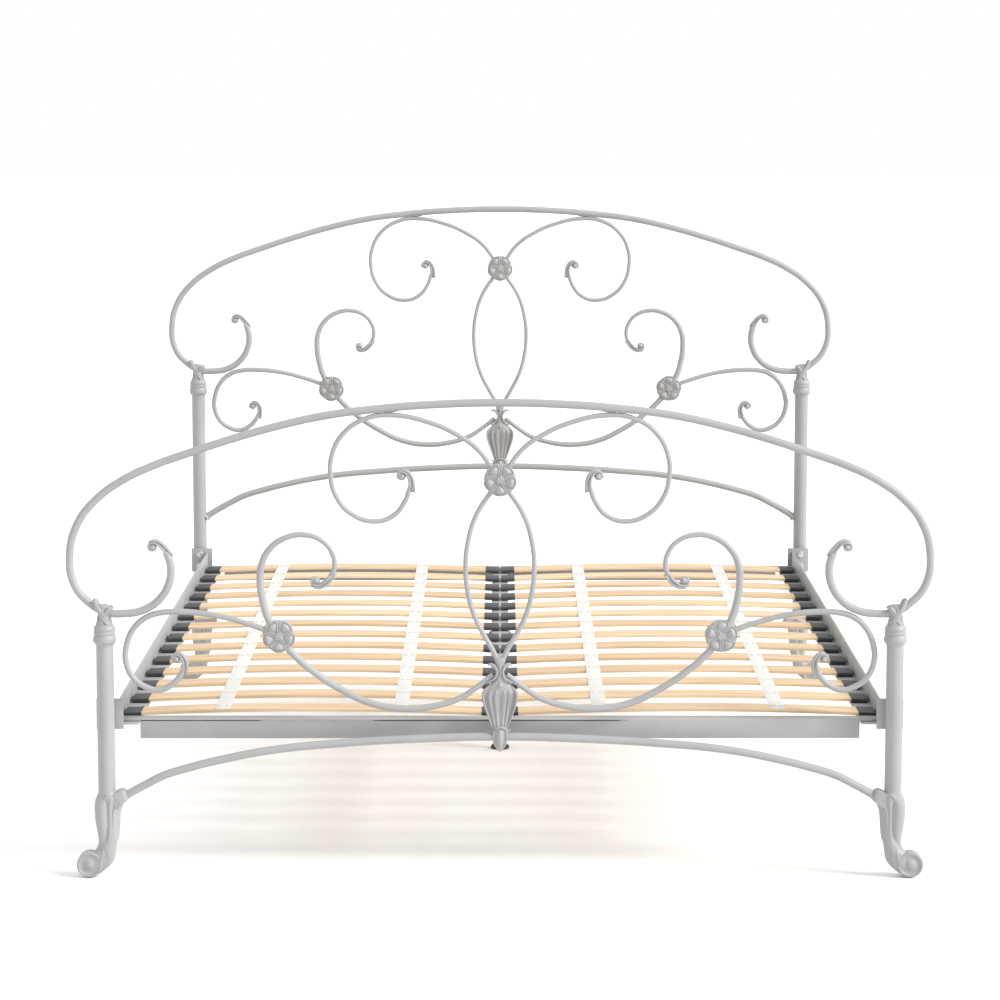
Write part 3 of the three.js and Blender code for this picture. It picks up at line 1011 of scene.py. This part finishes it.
collar = {
    "voxel": 0.65,
    "barrel": [
        (17.3, 470.8),
        (18.3, 471.6),
        (18.9, 473.6),
        (22.6, 478.2),
        (23.2, 480.2),
        (23.2, 483.4),
        (22.2, 488.2),
        (21.2, 490.8),
        (20.6, 491.6),
        (20.6, 492.8),
        (21.7, 493.8),
        (21.9, 495.4),
        (21.9, 497.4),
        (21.6, 499.0),
        (20.7, 500.0),
        (20.7, 501.2),
        (21.5, 502.2),
        (21.6, 505.2),
        (20.2, 508.6),
        (17.0, 512.2),
        (13, 513.4),
        (0, 513.6),
    ],
    "neck": [
        (506, 0, 15.8, 15.0),
        (512, 0, 14.6, 13.4),
        (518, 0, 12.4, 11.4),
        (525, 0, 11.0, 10.4),
        (534, 0.4, 12.8, 11.4),
        (543, 1.6, 15.8, 12.4),
        (549, 2.4, 15.6, 11.6),
        (553, 3.0, 11.0, 8.0),
    ],
    # z, radius, share of the way across, thickness of a strip of the binding
    "strip": [
        (508, 15.4, -1.0, 1.4),
        (512.5, 14.2, -0.86, 2.6),
        (519, 12.0, -0.55, 3.0),
        (526, 10.8, -0.1, 3.1),
        (534, 12.2, 0.36, 3.2),
        (542, 15.8, 0.72, 3.4),
        (549, 18.8, 0.92, 3.5),
        (553.4, 20.6, 0.98, 3.3),
        (556.0, 21.4, 1.0, 2.4),
    ],
    "cross": 50,
    "split": 2.5,
    "climb": 0.42,
    # the upper strip stands proud; the ribbon is flatter front to back; where it leans and rises
    "proud": 1.2,
    "flat": 0.9,
    "lean": (524, 0.08),
    "rise": (528, 28),
    # radius, z, thickness
    "petal": ((10.0, 528, 1.6), (11.0, 533, 3.0), (12.2, 538, 3.6), (13.2, 542.6, 3.2), (13.8, 545.6, 1.8)),
    "sideLeaf": ((16.0, 509, 1.0), (14.6, 514, 2.2), (12.6, 521, 2.5), (12.4, 527, 2.0), (13.6, 531, 0.8)),
}


def collarMeshes():
    barrel = bmesh.new()
    turned(barrel, collar["barrel"], (post["x"], 0, 0), sides=72)
    bm = bmesh.new()
    stacked(bm, finer(collar["neck"], 24), 36)
    for face in (-90, 90):
        for way in (-1, 1):
            for lean in (-1, 1):
                strip = []
                for z, radius, share, thick in collar["strip"]:
                    # the strip on top of the crossing stands a little proud of the one under it
                    proud = collar["proud"] if way * face < 0 else 0.0
                    spread = lean * math.degrees(collar["split"] / radius)
                    a = math.radians(face + way * share * collar["cross"] + spread)
                    r = radius + proud * (1 - abs(share + 0.1))
                    across = r * math.cos(a)
                    # the tops follow the tube, which climbs outwards
                    start, over = collar["rise"]
                    top = z + collar["climb"] * across * min(max((z - start) / over, 0), 1)
                    above, slope = collar["lean"]
                    strip.append(
                        (
                            slope * max(z - above, 0) + across, collar["flat"] * r * math.sin(a), top,
                            thick
                        )
                    )
                sweep(bm, strip, sides=12, steps=5)
        # leaf standing behind the crossing
        a = math.radians(face)
        sweep(
            bm,
            [
                (2.4 + r * math.cos(a), collar["flat"] * r * math.sin(a), z, t)
                for r, z, t in collar["petal"]
            ],
            sides=12, steps=5
        )
    for way in (0, 180):
        # plain leaves at the two sides, under and over the tube
        for lean in (-17, 17):
            a = math.radians(way + lean)
            sweep(
                bm,
                [
                    (r * math.cos(a), collar["flat"] * r * math.sin(a), z, t)
                    for r, z, t in collar["sideLeaf"]
                ],
                sides=12, steps=4
            )
    bmesh.ops.translate(bm, vec=(post["x"] * mm, 0, 0), verts=bm.verts)
    return meshOf(barrel, "barrel", 22), cast(bm, "neck", collar["voxel"], 1)


barrelShape, neckShape = collarMeshes()
placeOnBoards("collar_barrel", barrelShape, tubePaint, "collar", True)
placeOnBoards("collar_binding", neckShape, castPaint, pair=True)
print("collars set")

foot = {
    "voxel": 0.95,
    # [x, z, radius] down each part of the leg, and how deep it is for its width
    "crest": [
        (786.5, 176, 11.5), (791, 164, 14.1), (794.4, 148, 15.8), (794.6, 130, 15.6),
        (793.4, 108, 14.8), (792.6, 86, 12.0), (793.8, 70, 9.8), (798, 57.6, 8.8), (806, 48, 7.8),
        (815, 41, 7.6)
    ],
    "crestDeep": 1.1,
    "wedge": [
        (756.8, 174.0, 5.4), (759.4, 166.4, 9.6), (763.6, 155, 12.6), (770.2, 139, 13.8),
        (771.8, 112, 12.8), (772.0, 90, 11.4), (772.0, 79.5, 9.8), (771.8, 75, 8.2)
    ],
    "wedgeDeep": 1.09,
    "lobe": [
        (772, 150, 18), (763.4, 159.4, 19.2), (756, 164.8, 18.6), (749.6, 166.6, 17.2),
        (744.8, 167.8, 12.8)
    ],
    "lobeDeep": 1.12,
    # z, centre, half width, half depth of the body between them
    "body": [
        (178.4, 785, 17.3, 17.3), (173, 784.8, 17.7, 17.7), (167, 783.6, 19.2, 17.9),
        (161, 781.4, 21.4, 17.4), (155, 779.4, 20.4, 15.5), (148, 777.6, 17, 14.2),
        (140, 776.4, 14, 13.7), (126, 776, 13, 13.6), (104, 776, 12.8, 13.5), (84, 777.6, 13.6, 13.6),
        (68, 783, 16.4, 14.6), (57, 786.4, 18.0, 15.4), (50, 791.5, 22.0, 15.6),
        (42, 796.5, 26.0, 15.3), (32, 801, 27.0, 15.0), (22, 806.2, 24.8, 14.6),
        (13, 811.5, 19.8, 13.4), (6.5, 815.6, 14.4, 11.4), (2.2, 818.6, 8.4, 8.6)
    ],
    "toe": (821.4, 26.6),
    # centre and half sizes of the swelling that joins the lobe to the leg
    "swelling": ((765, 0, 162), (11, 16, 12)),
    "dish": [
        (0, 17.7), (4, 17.2), (8, 15.6), (11.5, 13.6), (15, 12.9), (19, 13.7), (22.4, 15.3),
        (24.6, 15.2), (25.4, 14.2), (25.5, 12)
    ],
    # chased lines: x, z, half width, height
    "lines": [
        [(766, 171, 3, 0.4), (777, 170.4, 5.5, 2.2), (786, 165.4, 5.5, 1.6), (792, 154, 4.5, 0.5)],
        [
            (774, 163, 4, -0.8), (777.4, 152, 6, -1.8), (779.6, 138, 6.4, -2.0), (780, 112, 6.2, -1.9),
            (780.4, 90, 5.2, -1.3), (783, 72, 2.6, -0.4)
        ],
        [
            (792.6, 65, 0.9, -0.3), (793.6, 54, 1.8, -0.9), (795.2, 42, 2.6, -1.1),
            (799.6, 31, 3.0, -1.0), (806, 22, 1.8, -0.4)
        ],
        [
            (788.4, 63, 0.9, -0.4), (785.2, 52, 1.4, -1.0), (784.2, 40, 1.5, -1.1),
            (788.8, 26, 1.4, -1.1), (798.6, 14.6, 1.3, -1.0), (810, 7.9, 1.2, -1.0),
            (822, 4.9, 1.2, -1.0), (833.6, 8.2, 1.2, -1.0), (841.2, 17.2, 1.2, -1.0),
            (842.9, 27.6, 1.2, -1.0), (839.4, 37.8, 1.2, -0.9), (831.6, 45.2, 1.1, -0.7),
            (821, 47.9, 0.9, -0.3)
        ],
        [
            (785.0, 60, 0.9, 0.4), (781.8, 50, 1.6, 0.9), (780.8, 38.6, 1.7, 1.0),
            (786.0, 23.6, 1.6, 0.8), (796.6, 12.2, 1.3, 0.5)
        ],
        [(762.4, 73.4, 1.6, -2.2), (766, 72.8, 1.4, -1.2), (770.6, 73.6, 0.9, -0.4)],
    ],
}


def footMesh():
    bm = bmesh.new()
    flatBar(bm, foot["crest"], foot["crestDeep"], sides=28, steps=6)
    flatBar(bm, foot["wedge"], foot["wedgeDeep"], sides=4, steps=6)
    stacked(bm, finer(foot["body"][::-1], 60), 40)
    # the lobe with the socket that takes the bottom rail
    flatBar(bm, foot["lobe"], foot["lobeDeep"], sides=4, tilt=45)
    ball(bm, *foot["swelling"], 32)
    x, z = foot["toe"]
    profile = foot["dish"]
    turned(bm, [(r, -y) for r, y in profile] + profile[::-1], (x, 0, z), "Y", 72)
    return carved(cast(bm, "foot", foot["voxel"], 5, floor=0.05), foot["lines"])


footShape = footMesh()
for board, spot in boards.items():
    for side, hand in (("right", 1), ("left", -1)):
        place(
            f"{board}_{side}_scroll_foot", footShape, castPaint,
            stands=[f"{board}_{side}_foot_casting"], hand=hand, move=(0, spot["y"], 0)
        )
print("feet set")

for board, spot in boards.items():
    low, high = post["bottom"] + post["sunk"], post["top"] + spot["lift"]
    outer, inner = post["radius"], post["radius"] - post["wall"]
    edge = post["edge"]
    bm = bmesh.new()
    turned(
        bm,
        [
            (inner, low + edge), (inner + edge, low), (outer - edge, low), (outer, low + edge),
            (outer, high - edge), (outer - edge, high), (inner + edge, high), (inner, high - edge),
            (inner, low + edge)
        ],
        sides=72
    )
    # a bead of paint under the collar
    z = post["bead"] + spot["lift"]
    turned(
        bm,
        [
            (outer - 0.4, z - 1.4), (outer + 0.5, z - 0.9), (outer + 0.7, z), (outer + 0.5, z + 0.9),
            (outer - 0.4, z + 1.4)
        ],
        sides=72
    )
    mesh = meshOf(bm, "post")
    for side, hand in (("right", 1), ("left", -1)):
        place(
            f"{board}_{side}_post_tube", mesh, tubePaint, stands=[f"{board}_{side}_post"], hand=hand,
            move=(hand * post["x"], spot["y"], 0)
        )
print("posts set")

base = {
    "bottom": 306,
    "leg": 44,
    "thick": 4,
    "railX": 766,
    "face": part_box("side_rail_right")[1].y / mm,
    "plate": 5,
    "plateX": (752.2, 805.8),
    "plateZ": (297.2, 358.8),
    "weld": 5.4,  # from one ripple of the weld to the next
    "bolts": (313, 343),
}


def sideRailMesh():
    bm = bmesh.new()
    outer, thick, low = base["railX"], base["thick"], base["bottom"]
    end = base["face"] - 2
    # two flanges that overlap at the heel make the angle, all edges rounded
    rounded(bm, (outer - thick, -end, low), (outer, end, low + base["leg"]), 0.9)
    rounded(bm, (outer - base["leg"], -end, low), (outer - 0.4, end, low + thick), 0.9)
    for sign in (-1, 1):
        near, far = sign * base["face"], sign * (base["face"] - base["plate"])
        (left, right), (under, over) = base["plateX"], base["plateZ"]
        rounded(bm, (left, min(near, far), under), (right, max(near, far), over), 0.8)
        y = far
        # weld runs between the plate and the angle
        for x in (outer - thick - 1.2, outer + 0.6):
            weld = [
                (x + 0.5 * math.sin(i * 2.1), y, low + 3 + i * base["weld"], 1.9 + 0.35 * (i % 2))
                for i in range(8)
            ]
            sweep(bm, weld, sides=8, steps=3)
    return meshOf(bm, "angleRail")


rail = sideRailMesh()
place("angle_rail_right", rail, tubePaint, stands=["side_rail_right"])
place("angle_rail_left", rail, tubePaint, stands=["side_rail_left"], hand=-1)


cross = {"thick": 4, "reach": 720, "screws": (-600, -20, 20, 600), "screwIn": 16}


def crossRailMesh():
    low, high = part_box("cross_rail_head")
    x0, y0, z0 = low / mm
    x1, y1, z1 = high / mm
    thick, reach = cross["thick"], cross["reach"]
    bm = bmesh.new()
    rounded(bm, (x0, y0, z1 - thick), (x1, y1, z1), 0.9)
    rounded(bm, (-reach, y1 - thick, z0), (reach, y1, z1 - 0.4), 0.9)
    for x in cross["screws"]:
        # countersunk screws along the shelf
        turned(
            bm, [(0, 0.9), (3.2, 0.8), (4.6, 0.1), (4.6, -1), (0, -1)],
            (x, y0 + cross["screwIn"], z1 - 0.4), sides=20
        )
    return meshOf(bm, "crossAngle")


crossRail = crossRailMesh()
place("cross_angle_head", crossRail, tubePaint, stands=["cross_rail_head"])
turnedRail = crossRail.copy()
turnedRail.transform(Matrix.Rotation(math.pi, 4, "Z"))
place("cross_angle_foot", turnedRail, tubePaint, stands=["cross_rail_foot"])


middle = {"edge": 2.2, "wall": 1.4, "hollow": 12, "plug": (0.2, 11.9), "plugInset": 1.6, "plugEdge": 1.2}


def middleRailMesh():
    # rectangular tube with rounded corners and a plastic plug in each end
    low, high = (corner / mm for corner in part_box("centre_rail"))
    tube, plugs = bmesh.new(), bmesh.new()
    rounded(tube, low, high, middle["edge"], 3)
    ends = [f for f in tube.faces if abs(f.normal.y) > 0.99 and f.calc_area() > 5e-4]
    for face in ends:
        bmesh.ops.inset_region(tube, faces=[face], thickness=middle["wall"] * mm)
        deep = middle["hollow"] * mm
        pushed = Vector((0, -deep if face.normal.y > 0 else deep, 0))
        bmesh.ops.translate(tube, vec=pushed, verts=face.verts)
    for sign in (-1, 1):
        y = high.y if sign > 0 else low.y
        front, back = sorted(y - sign * deep for deep in middle["plug"])
        gap = middle["plugInset"]
        corners = (low.x + gap, front, low.z + gap), (high.x - gap, back, high.z - gap)
        rounded(plugs, *corners, middle["plugEdge"])
    return meshOf(tube, "middleRail"), meshOf(plugs, "railPlugs")


middleRail, railPlugs = middleRailMesh()
place("middle_rail", middleRail, tubePaint, stands=["centre_rail"])
place("middle_rail_plugs", railPlugs, plastic, slot="pad_plastic")

bolt = {"across": 6.5, "head": 5.3, "shank": 4.0, "length": 19.5, "washer": 8.6, "threads": 14}


def boltMesh():
    # the axis is y: head towards the bed, shank into the post
    bm = bmesh.new()
    made = bmesh.ops.create_cone(
        bm,
        cap_ends=True,
        segments=6,
        radius1=bolt["across"] / math.cos(math.pi / 6) * mm,
        radius2=bolt["across"] / math.cos(math.pi / 6) * mm,
        depth=(bolt["head"] - 1.3) * mm,
    )["verts"]
    bmesh.ops.transform(
        bm,
        matrix=Matrix.Translation(
            (0, -(bolt["head"] + 1.1) / 2 * mm, 0)
        ) @ Matrix.Rotation(math.pi / 2, 4, "X"),
        verts=made
    )
    edges = edgesOf(made)
    bmesh.ops.bevel(
        bm, geom=edges, offset=0.45 * mm, offset_type="OFFSET", affect="EDGES", segments=2, profile=0.5,
        material=-1
    )
    turned(
        bm,
        [
            (0, 1.3), (bolt["washer"] - 0.3, 1.3), (bolt["washer"], 1.0), (bolt["washer"], 0.2),
            (bolt["washer"] - 0.3, -0.05), (0, -0.05)
        ],
        axis="Y", sides=32
    )
    shank, tip = bolt["shank"] - 0.1, bolt["length"]
    rows = [(0, 0)]
    count = bolt["threads"]
    for i in range(count):
        y = i * tip / count
        rows += [(shank - 0.45, -y), (shank, -y - 0.5 * tip / count)]
    rows += [(shank - 1.0, -tip - 0.6), (0, -tip - 0.6)]
    turned(bm, rows, axis="Y", sides=24)
    return meshOf(bm, "bolt")


boltShape = boltMesh()
for end, sign in (("head", 1), ("foot", -1)):
    for side, hand in (("right", 1), ("left", -1)):
        for level, z in zip(("lower", "upper"), base["bolts"]):
            node = f"rail_bolt_{end}_{side}_{level}"
            low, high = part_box(node)
            mesh = boltShape.copy()
            if sign < 0:
                mesh.transform(Matrix.Rotation(math.pi, 4, "Z"))
            seat = (low.y + bolt["head"] * mm if sign > 0 else high.y - bolt["head"] * mm) / mm
            place(
                f"corner_bolt_{end}_{side}_{level}", mesh, steel, slot="bolt_steel", stands=[node],
                move=(centreOf(node).x / mm, seat, z)
            )
print("rails and bolts set")

support = {
    "y": centreOf("centre_leg").y / mm,
    # radius, z
    "profile": [
        (0, 275.9), (13, 275.9), (13, 62), (5.6, 62), (5.6, 45.6), (6.2, 45), (14.2, 45), (14.9, 45.8),
        (14.9, 49.5), (14.4, 50.2), (14.9, 51), (14.9, 270), (15.8, 273.6), (17.6, 275.3),
        (26.2, 275.7), (26.9, 276.4), (26.9, 279), (26.2, 279.6), (0, 279.6)
    ],
    "screw": [(0, -1.6), (2.6, -1.5), (3.7, -0.8), (3.9, 0.4), (0, 0.4)],
    "screwRing": 21.6,
    "screwHeight": 275.6,
}


def supportLegMesh():
    bm = bmesh.new()
    turned(bm, support["profile"], sides=56)
    for k in range(4):
        a = math.radians(45 + 90 * k)
        ring = support["screwRing"]
        spot = (ring * math.cos(a), ring * math.sin(a), support["screwHeight"])
        turned(bm, support["screw"], spot, sides=20)
    return meshOf(bm, "supportLeg")


levelling = {
    "pad": [
        (0, 0.1), (19.6, 0.1), (21.4, 0.9), (21.9, 2.2), (21.9, 4.6), (21.2, 6), (17.4, 9.4),
        (12.4, 11.4), (0, 11.9)
    ],
    "grip": [(0, 1.4), (0.55, 1.6), (0.55, 5.0), (0, 5.2)],
    "gripRing": 21.55,
    "grips": 24,
    "nut": (8.4, 8, 15.8),  # radius over the corners, height, middle
    "stem": [(0, 10), (4.2, 10), (4.2, 91.4), (3.4, 92), (0, 92)],
    # root and crest radius of the thread, where it starts, its pitch, turns and steps in a turn
    "thread": (4.0, 4.95, 20.2, 1.75, 40, 24),
}


def screwFootMeshes():
    # pad with a gripped rim, hexagon nut, and the threaded stem
    pad = bmesh.new()
    turned(pad, levelling["pad"], sides=56)
    for k in range(levelling["grips"]):
        a = math.radians(360 / levelling["grips"] * k)
        ring = levelling["gripRing"]
        turned(pad, levelling["grip"], (ring * math.cos(a), ring * math.sin(a), 0), sides=8)
    metal = bmesh.new()
    radius, high, middleZ = levelling["nut"]
    made = bmesh.ops.create_cone(
        metal, cap_ends=True, segments=6, radius1=radius * mm, radius2=radius * mm, depth=high * mm
    )["verts"]
    bmesh.ops.translate(metal, vec=(0, 0, middleZ * mm), verts=made)
    bmesh.ops.bevel(
        metal,
        geom=edgesOf(made),
        offset=0.6 * mm,
        offset_type="OFFSET",
        affect="EDGES",
        segments=2,
        profile=0.5,
        material=-1,
    )
    turned(metal, levelling["stem"], sides=24)
    # one vee of thread carried round and up the stem
    root, crest, start, pitch, turns, around = levelling["thread"]
    outline = ((root, start), (crest, start + pitch / 2), (root, start + pitch))
    corners = [metal.verts.new((r * mm, 0, z * mm)) for r, z in outline]
    edges = [metal.edges.new(pair) for pair in zip(corners, corners[1:])]
    bmesh.ops.spin(
        metal,
        geom=corners + edges,
        axis=(0, 0, 1),
        cent=(0, 0, 0),
        dvec=(0, 0, pitch * mm / around),
        angle=2 * math.pi * turns,
        steps=around * turns,
    )
    return meshOf(pad, "levelPad"), meshOf(metal, "levelScrew")


place("support_leg", supportLegMesh(), tubePaint, stands=["centre_leg"], move=(0, support["y"], 0))
padShape, screwShape = screwFootMeshes()
place(
    "levelling_pad", padShape, plastic, slot="pad_plastic", body="levelling_screw",
    stands=["levelling_foot"], move=(0, support["y"], 0)
)
place(
    "levelling_stem", screwShape, steel, slot="bolt_steel", body="levelling_screw",
    move=(0, support["y"], 0)
)
print("leg set")

slats = {
    "count": 14,
    "pitch": 142,
    "width": 63,
    "thick": 6.6,
    "from": 3,
    "to": 757,
    "low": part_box("slat_roll_right")[0].z / mm,
    "rise": 10,
    "cap": 34,
    "tapes": (200, 560),
    "tapeWidth": 30,
    "lift": 0.7,
    "edge": 1.4,
    "capThick": 8.0,
    "capEdge": 1.8,
    "staples": (-8, 8),
}


def bowedStrip(bm, x0, x1, y, width, low, thick, edge, steps):
    # a rounded section carried along the slat's flat arc
    chord = slats["to"] - slats["from"]
    radius = (chord**2 / 4 + slats["rise"] ** 2) / (2 * slats["rise"])
    middle = (slats["from"] + slats["to"]) / 2
    centre = Vector((middle, 0, slats["low"] + slats["rise"] - radius)) * mm
    start, stop = (math.asin((x - middle) / radius) for x in (x0, x1))
    before = set(bm.verts)
    made = bmesh.ops.create_grid(bm, x_segments=1, y_segments=1, size=0.5 * mm)["verts"]
    addTo(
        bm, made,
        Matrix.Translation(
            Vector((0, y, 0)) * mm
        ) @ Matrix.Rotation(math.pi / 2, 4, "Y") @ Matrix.Diagonal((thick, width, 1, 1))
    )
    bmesh.ops.bevel(
        bm, geom=made, offset=edge * mm, offset_type="OFFSET", affect="VERTICES", segments=3,
        profile=0.5, material=-1
    )
    section = [f for f in bm.faces if all(v not in before for v in f.verts)]
    rim = [v for v in bm.verts if v not in before]
    high = radius + (low - slats["low"]) + thick / 2
    bmesh.ops.translate(bm, vec=(centre.x, 0, centre.z + high * mm), verts=rim)
    bmesh.ops.rotate(bm, cent=centre, matrix=Matrix.Rotation(start, 3, "Y"), verts=rim)
    loop = list(dict.fromkeys(e for f in section for e in f.edges))
    bmesh.ops.spin(
        bm, geom=section + loop + rim, axis=(0, 1, 0), cent=centre, angle=stop - start, steps=steps
    )


def slatMeshes():
    wood, caps, tapes = bmesh.new(), bmesh.new(), bmesh.new()
    low = slats["low"]
    for i in range(slats["count"]):
        y = (i - (slats["count"] - 1) / 2) * slats["pitch"]
        bowedStrip(
            wood, slats["from"] + 2, slats["to"] - 2, y, slats["width"] - 3, low + slats["lift"],
            slats["thick"], slats["edge"], 18
        )
        for x0, x1 in (
            (slats["from"], slats["from"] + slats["cap"]), (slats["to"] - slats["cap"], slats["to"])
        ):
            bowedStrip(caps, x0, x1, y, slats["width"], low, slats["capThick"], slats["capEdge"], 3)
    reach = (slats["count"] - 1) / 2 * slats["pitch"] + slats["width"] / 2 - 4
    for x in slats["tapes"]:
        chord = slats["to"] - slats["from"]
        t = (x - slats["from"]) / chord
        top = low + slats["lift"] + 4 * slats["rise"] * t * (1 - t) + slats["thick"]
        rounded(
            tapes, (x - slats["tapeWidth"] / 2, -reach, top - 0.5),
            (x + slats["tapeWidth"] / 2, reach, top + 0.9), 0.5, 2
        )
        for i in range(slats["count"]):
            y = (i - (slats["count"] - 1) / 2) * slats["pitch"]
            for offset in slats["staples"]:
                # a wire staple holds the tape to every slat
                middleX = x + offset
                wire = ((-5, 0.3), (-4.4, 1.2), (4.4, 1.2), (5, 0.3))
                staple = [(middleX + across, y, top + high, 0.6) for across, high in wire]
                sweep(tapes, staple, sides=6, steps=2)
    return meshOf(wood, "slats"), meshOf(caps, "slatCaps"), meshOf(tapes, "slatTapes")


woodShape, capShape, tapeShape = slatMeshes()
for side, hand in (("right", 1), ("left", -1)):
    place(f"slats_{side}", woodShape, beech, slot="slat_wood", stands=[f"slat_roll_{side}"], hand=hand)
    place(f"slat_caps_{side}", capShape, plastic, slot="pad_plastic", hand=hand)
    place(f"slat_tapes_{side}", tapeShape, webbing, slot="pad_plastic", hand=hand)
print("slats set")

studio = {
    "world": 1.0,
    "floor": 0.88,
    # where each light comes from, how wide it looks in degrees, its strength
    "key": ((0.78, -0.30, 0.55), 20, 3.5),
    "back": ((-0.55, 0.62, 0.56), 40, 0.3),
    "camera": ((0.0, -7.3703, 1.6182), (math.pi / 2 - 0.1343, 0, 0), 116.7),
}

bm = bmesh.new()
bmesh.ops.create_grid(bm, x_segments=8, y_segments=8, size=40)
bmesh.ops.translate(bm, vec=(0, 0, -0.0005), verts=bm.verts)
floorMesh = bpy.data.meshes.new("floor")
bm.to_mesh(floorMesh)
bm.free()
floor = bpy.data.objects.new("floor", floorMesh)
bpy.context.scene.collection.objects.link(floor)
ground = Finish("studioFloor")
ground.shader.inputs["Base Color"].default_value = shade(studio["floor"])
ground.shader.inputs["Roughness"].default_value = 0.85
floorMesh.materials.append(ground.material)

for name in ("key", "back"):
    source, wide, power = studio[name]
    light = bpy.data.lights.new(name, "SUN")
    light.angle = math.radians(wide)
    light.energy = power
    lamp = bpy.data.objects.new(name, light)
    lamp.rotation_euler = (-Vector(source)).to_track_quat("-Z", "Y").to_euler()
    bpy.context.scene.collection.objects.link(lamp)

world = bpy.data.worlds.new("studio")
world.use_nodes = True
world.node_tree.nodes["Background"].inputs["Color"].default_value = (1, 1, 1, 1)
world.node_tree.nodes["Background"].inputs["Strength"].default_value = studio["world"]
bpy.context.scene.world = world
bpy.context.scene.view_settings.view_transform = "Standard"

spot, turn, lens = studio["camera"]
camera = bpy.data.cameras.new("camera")
camera.sensor_width = 36
camera.lens = lens
eye = bpy.data.objects.new("camera", camera)
eye.location = spot
eye.rotation_euler = turn
bpy.context.scene.collection.objects.link(eye)
bpy.context.scene.camera = eye
print("studio ready")
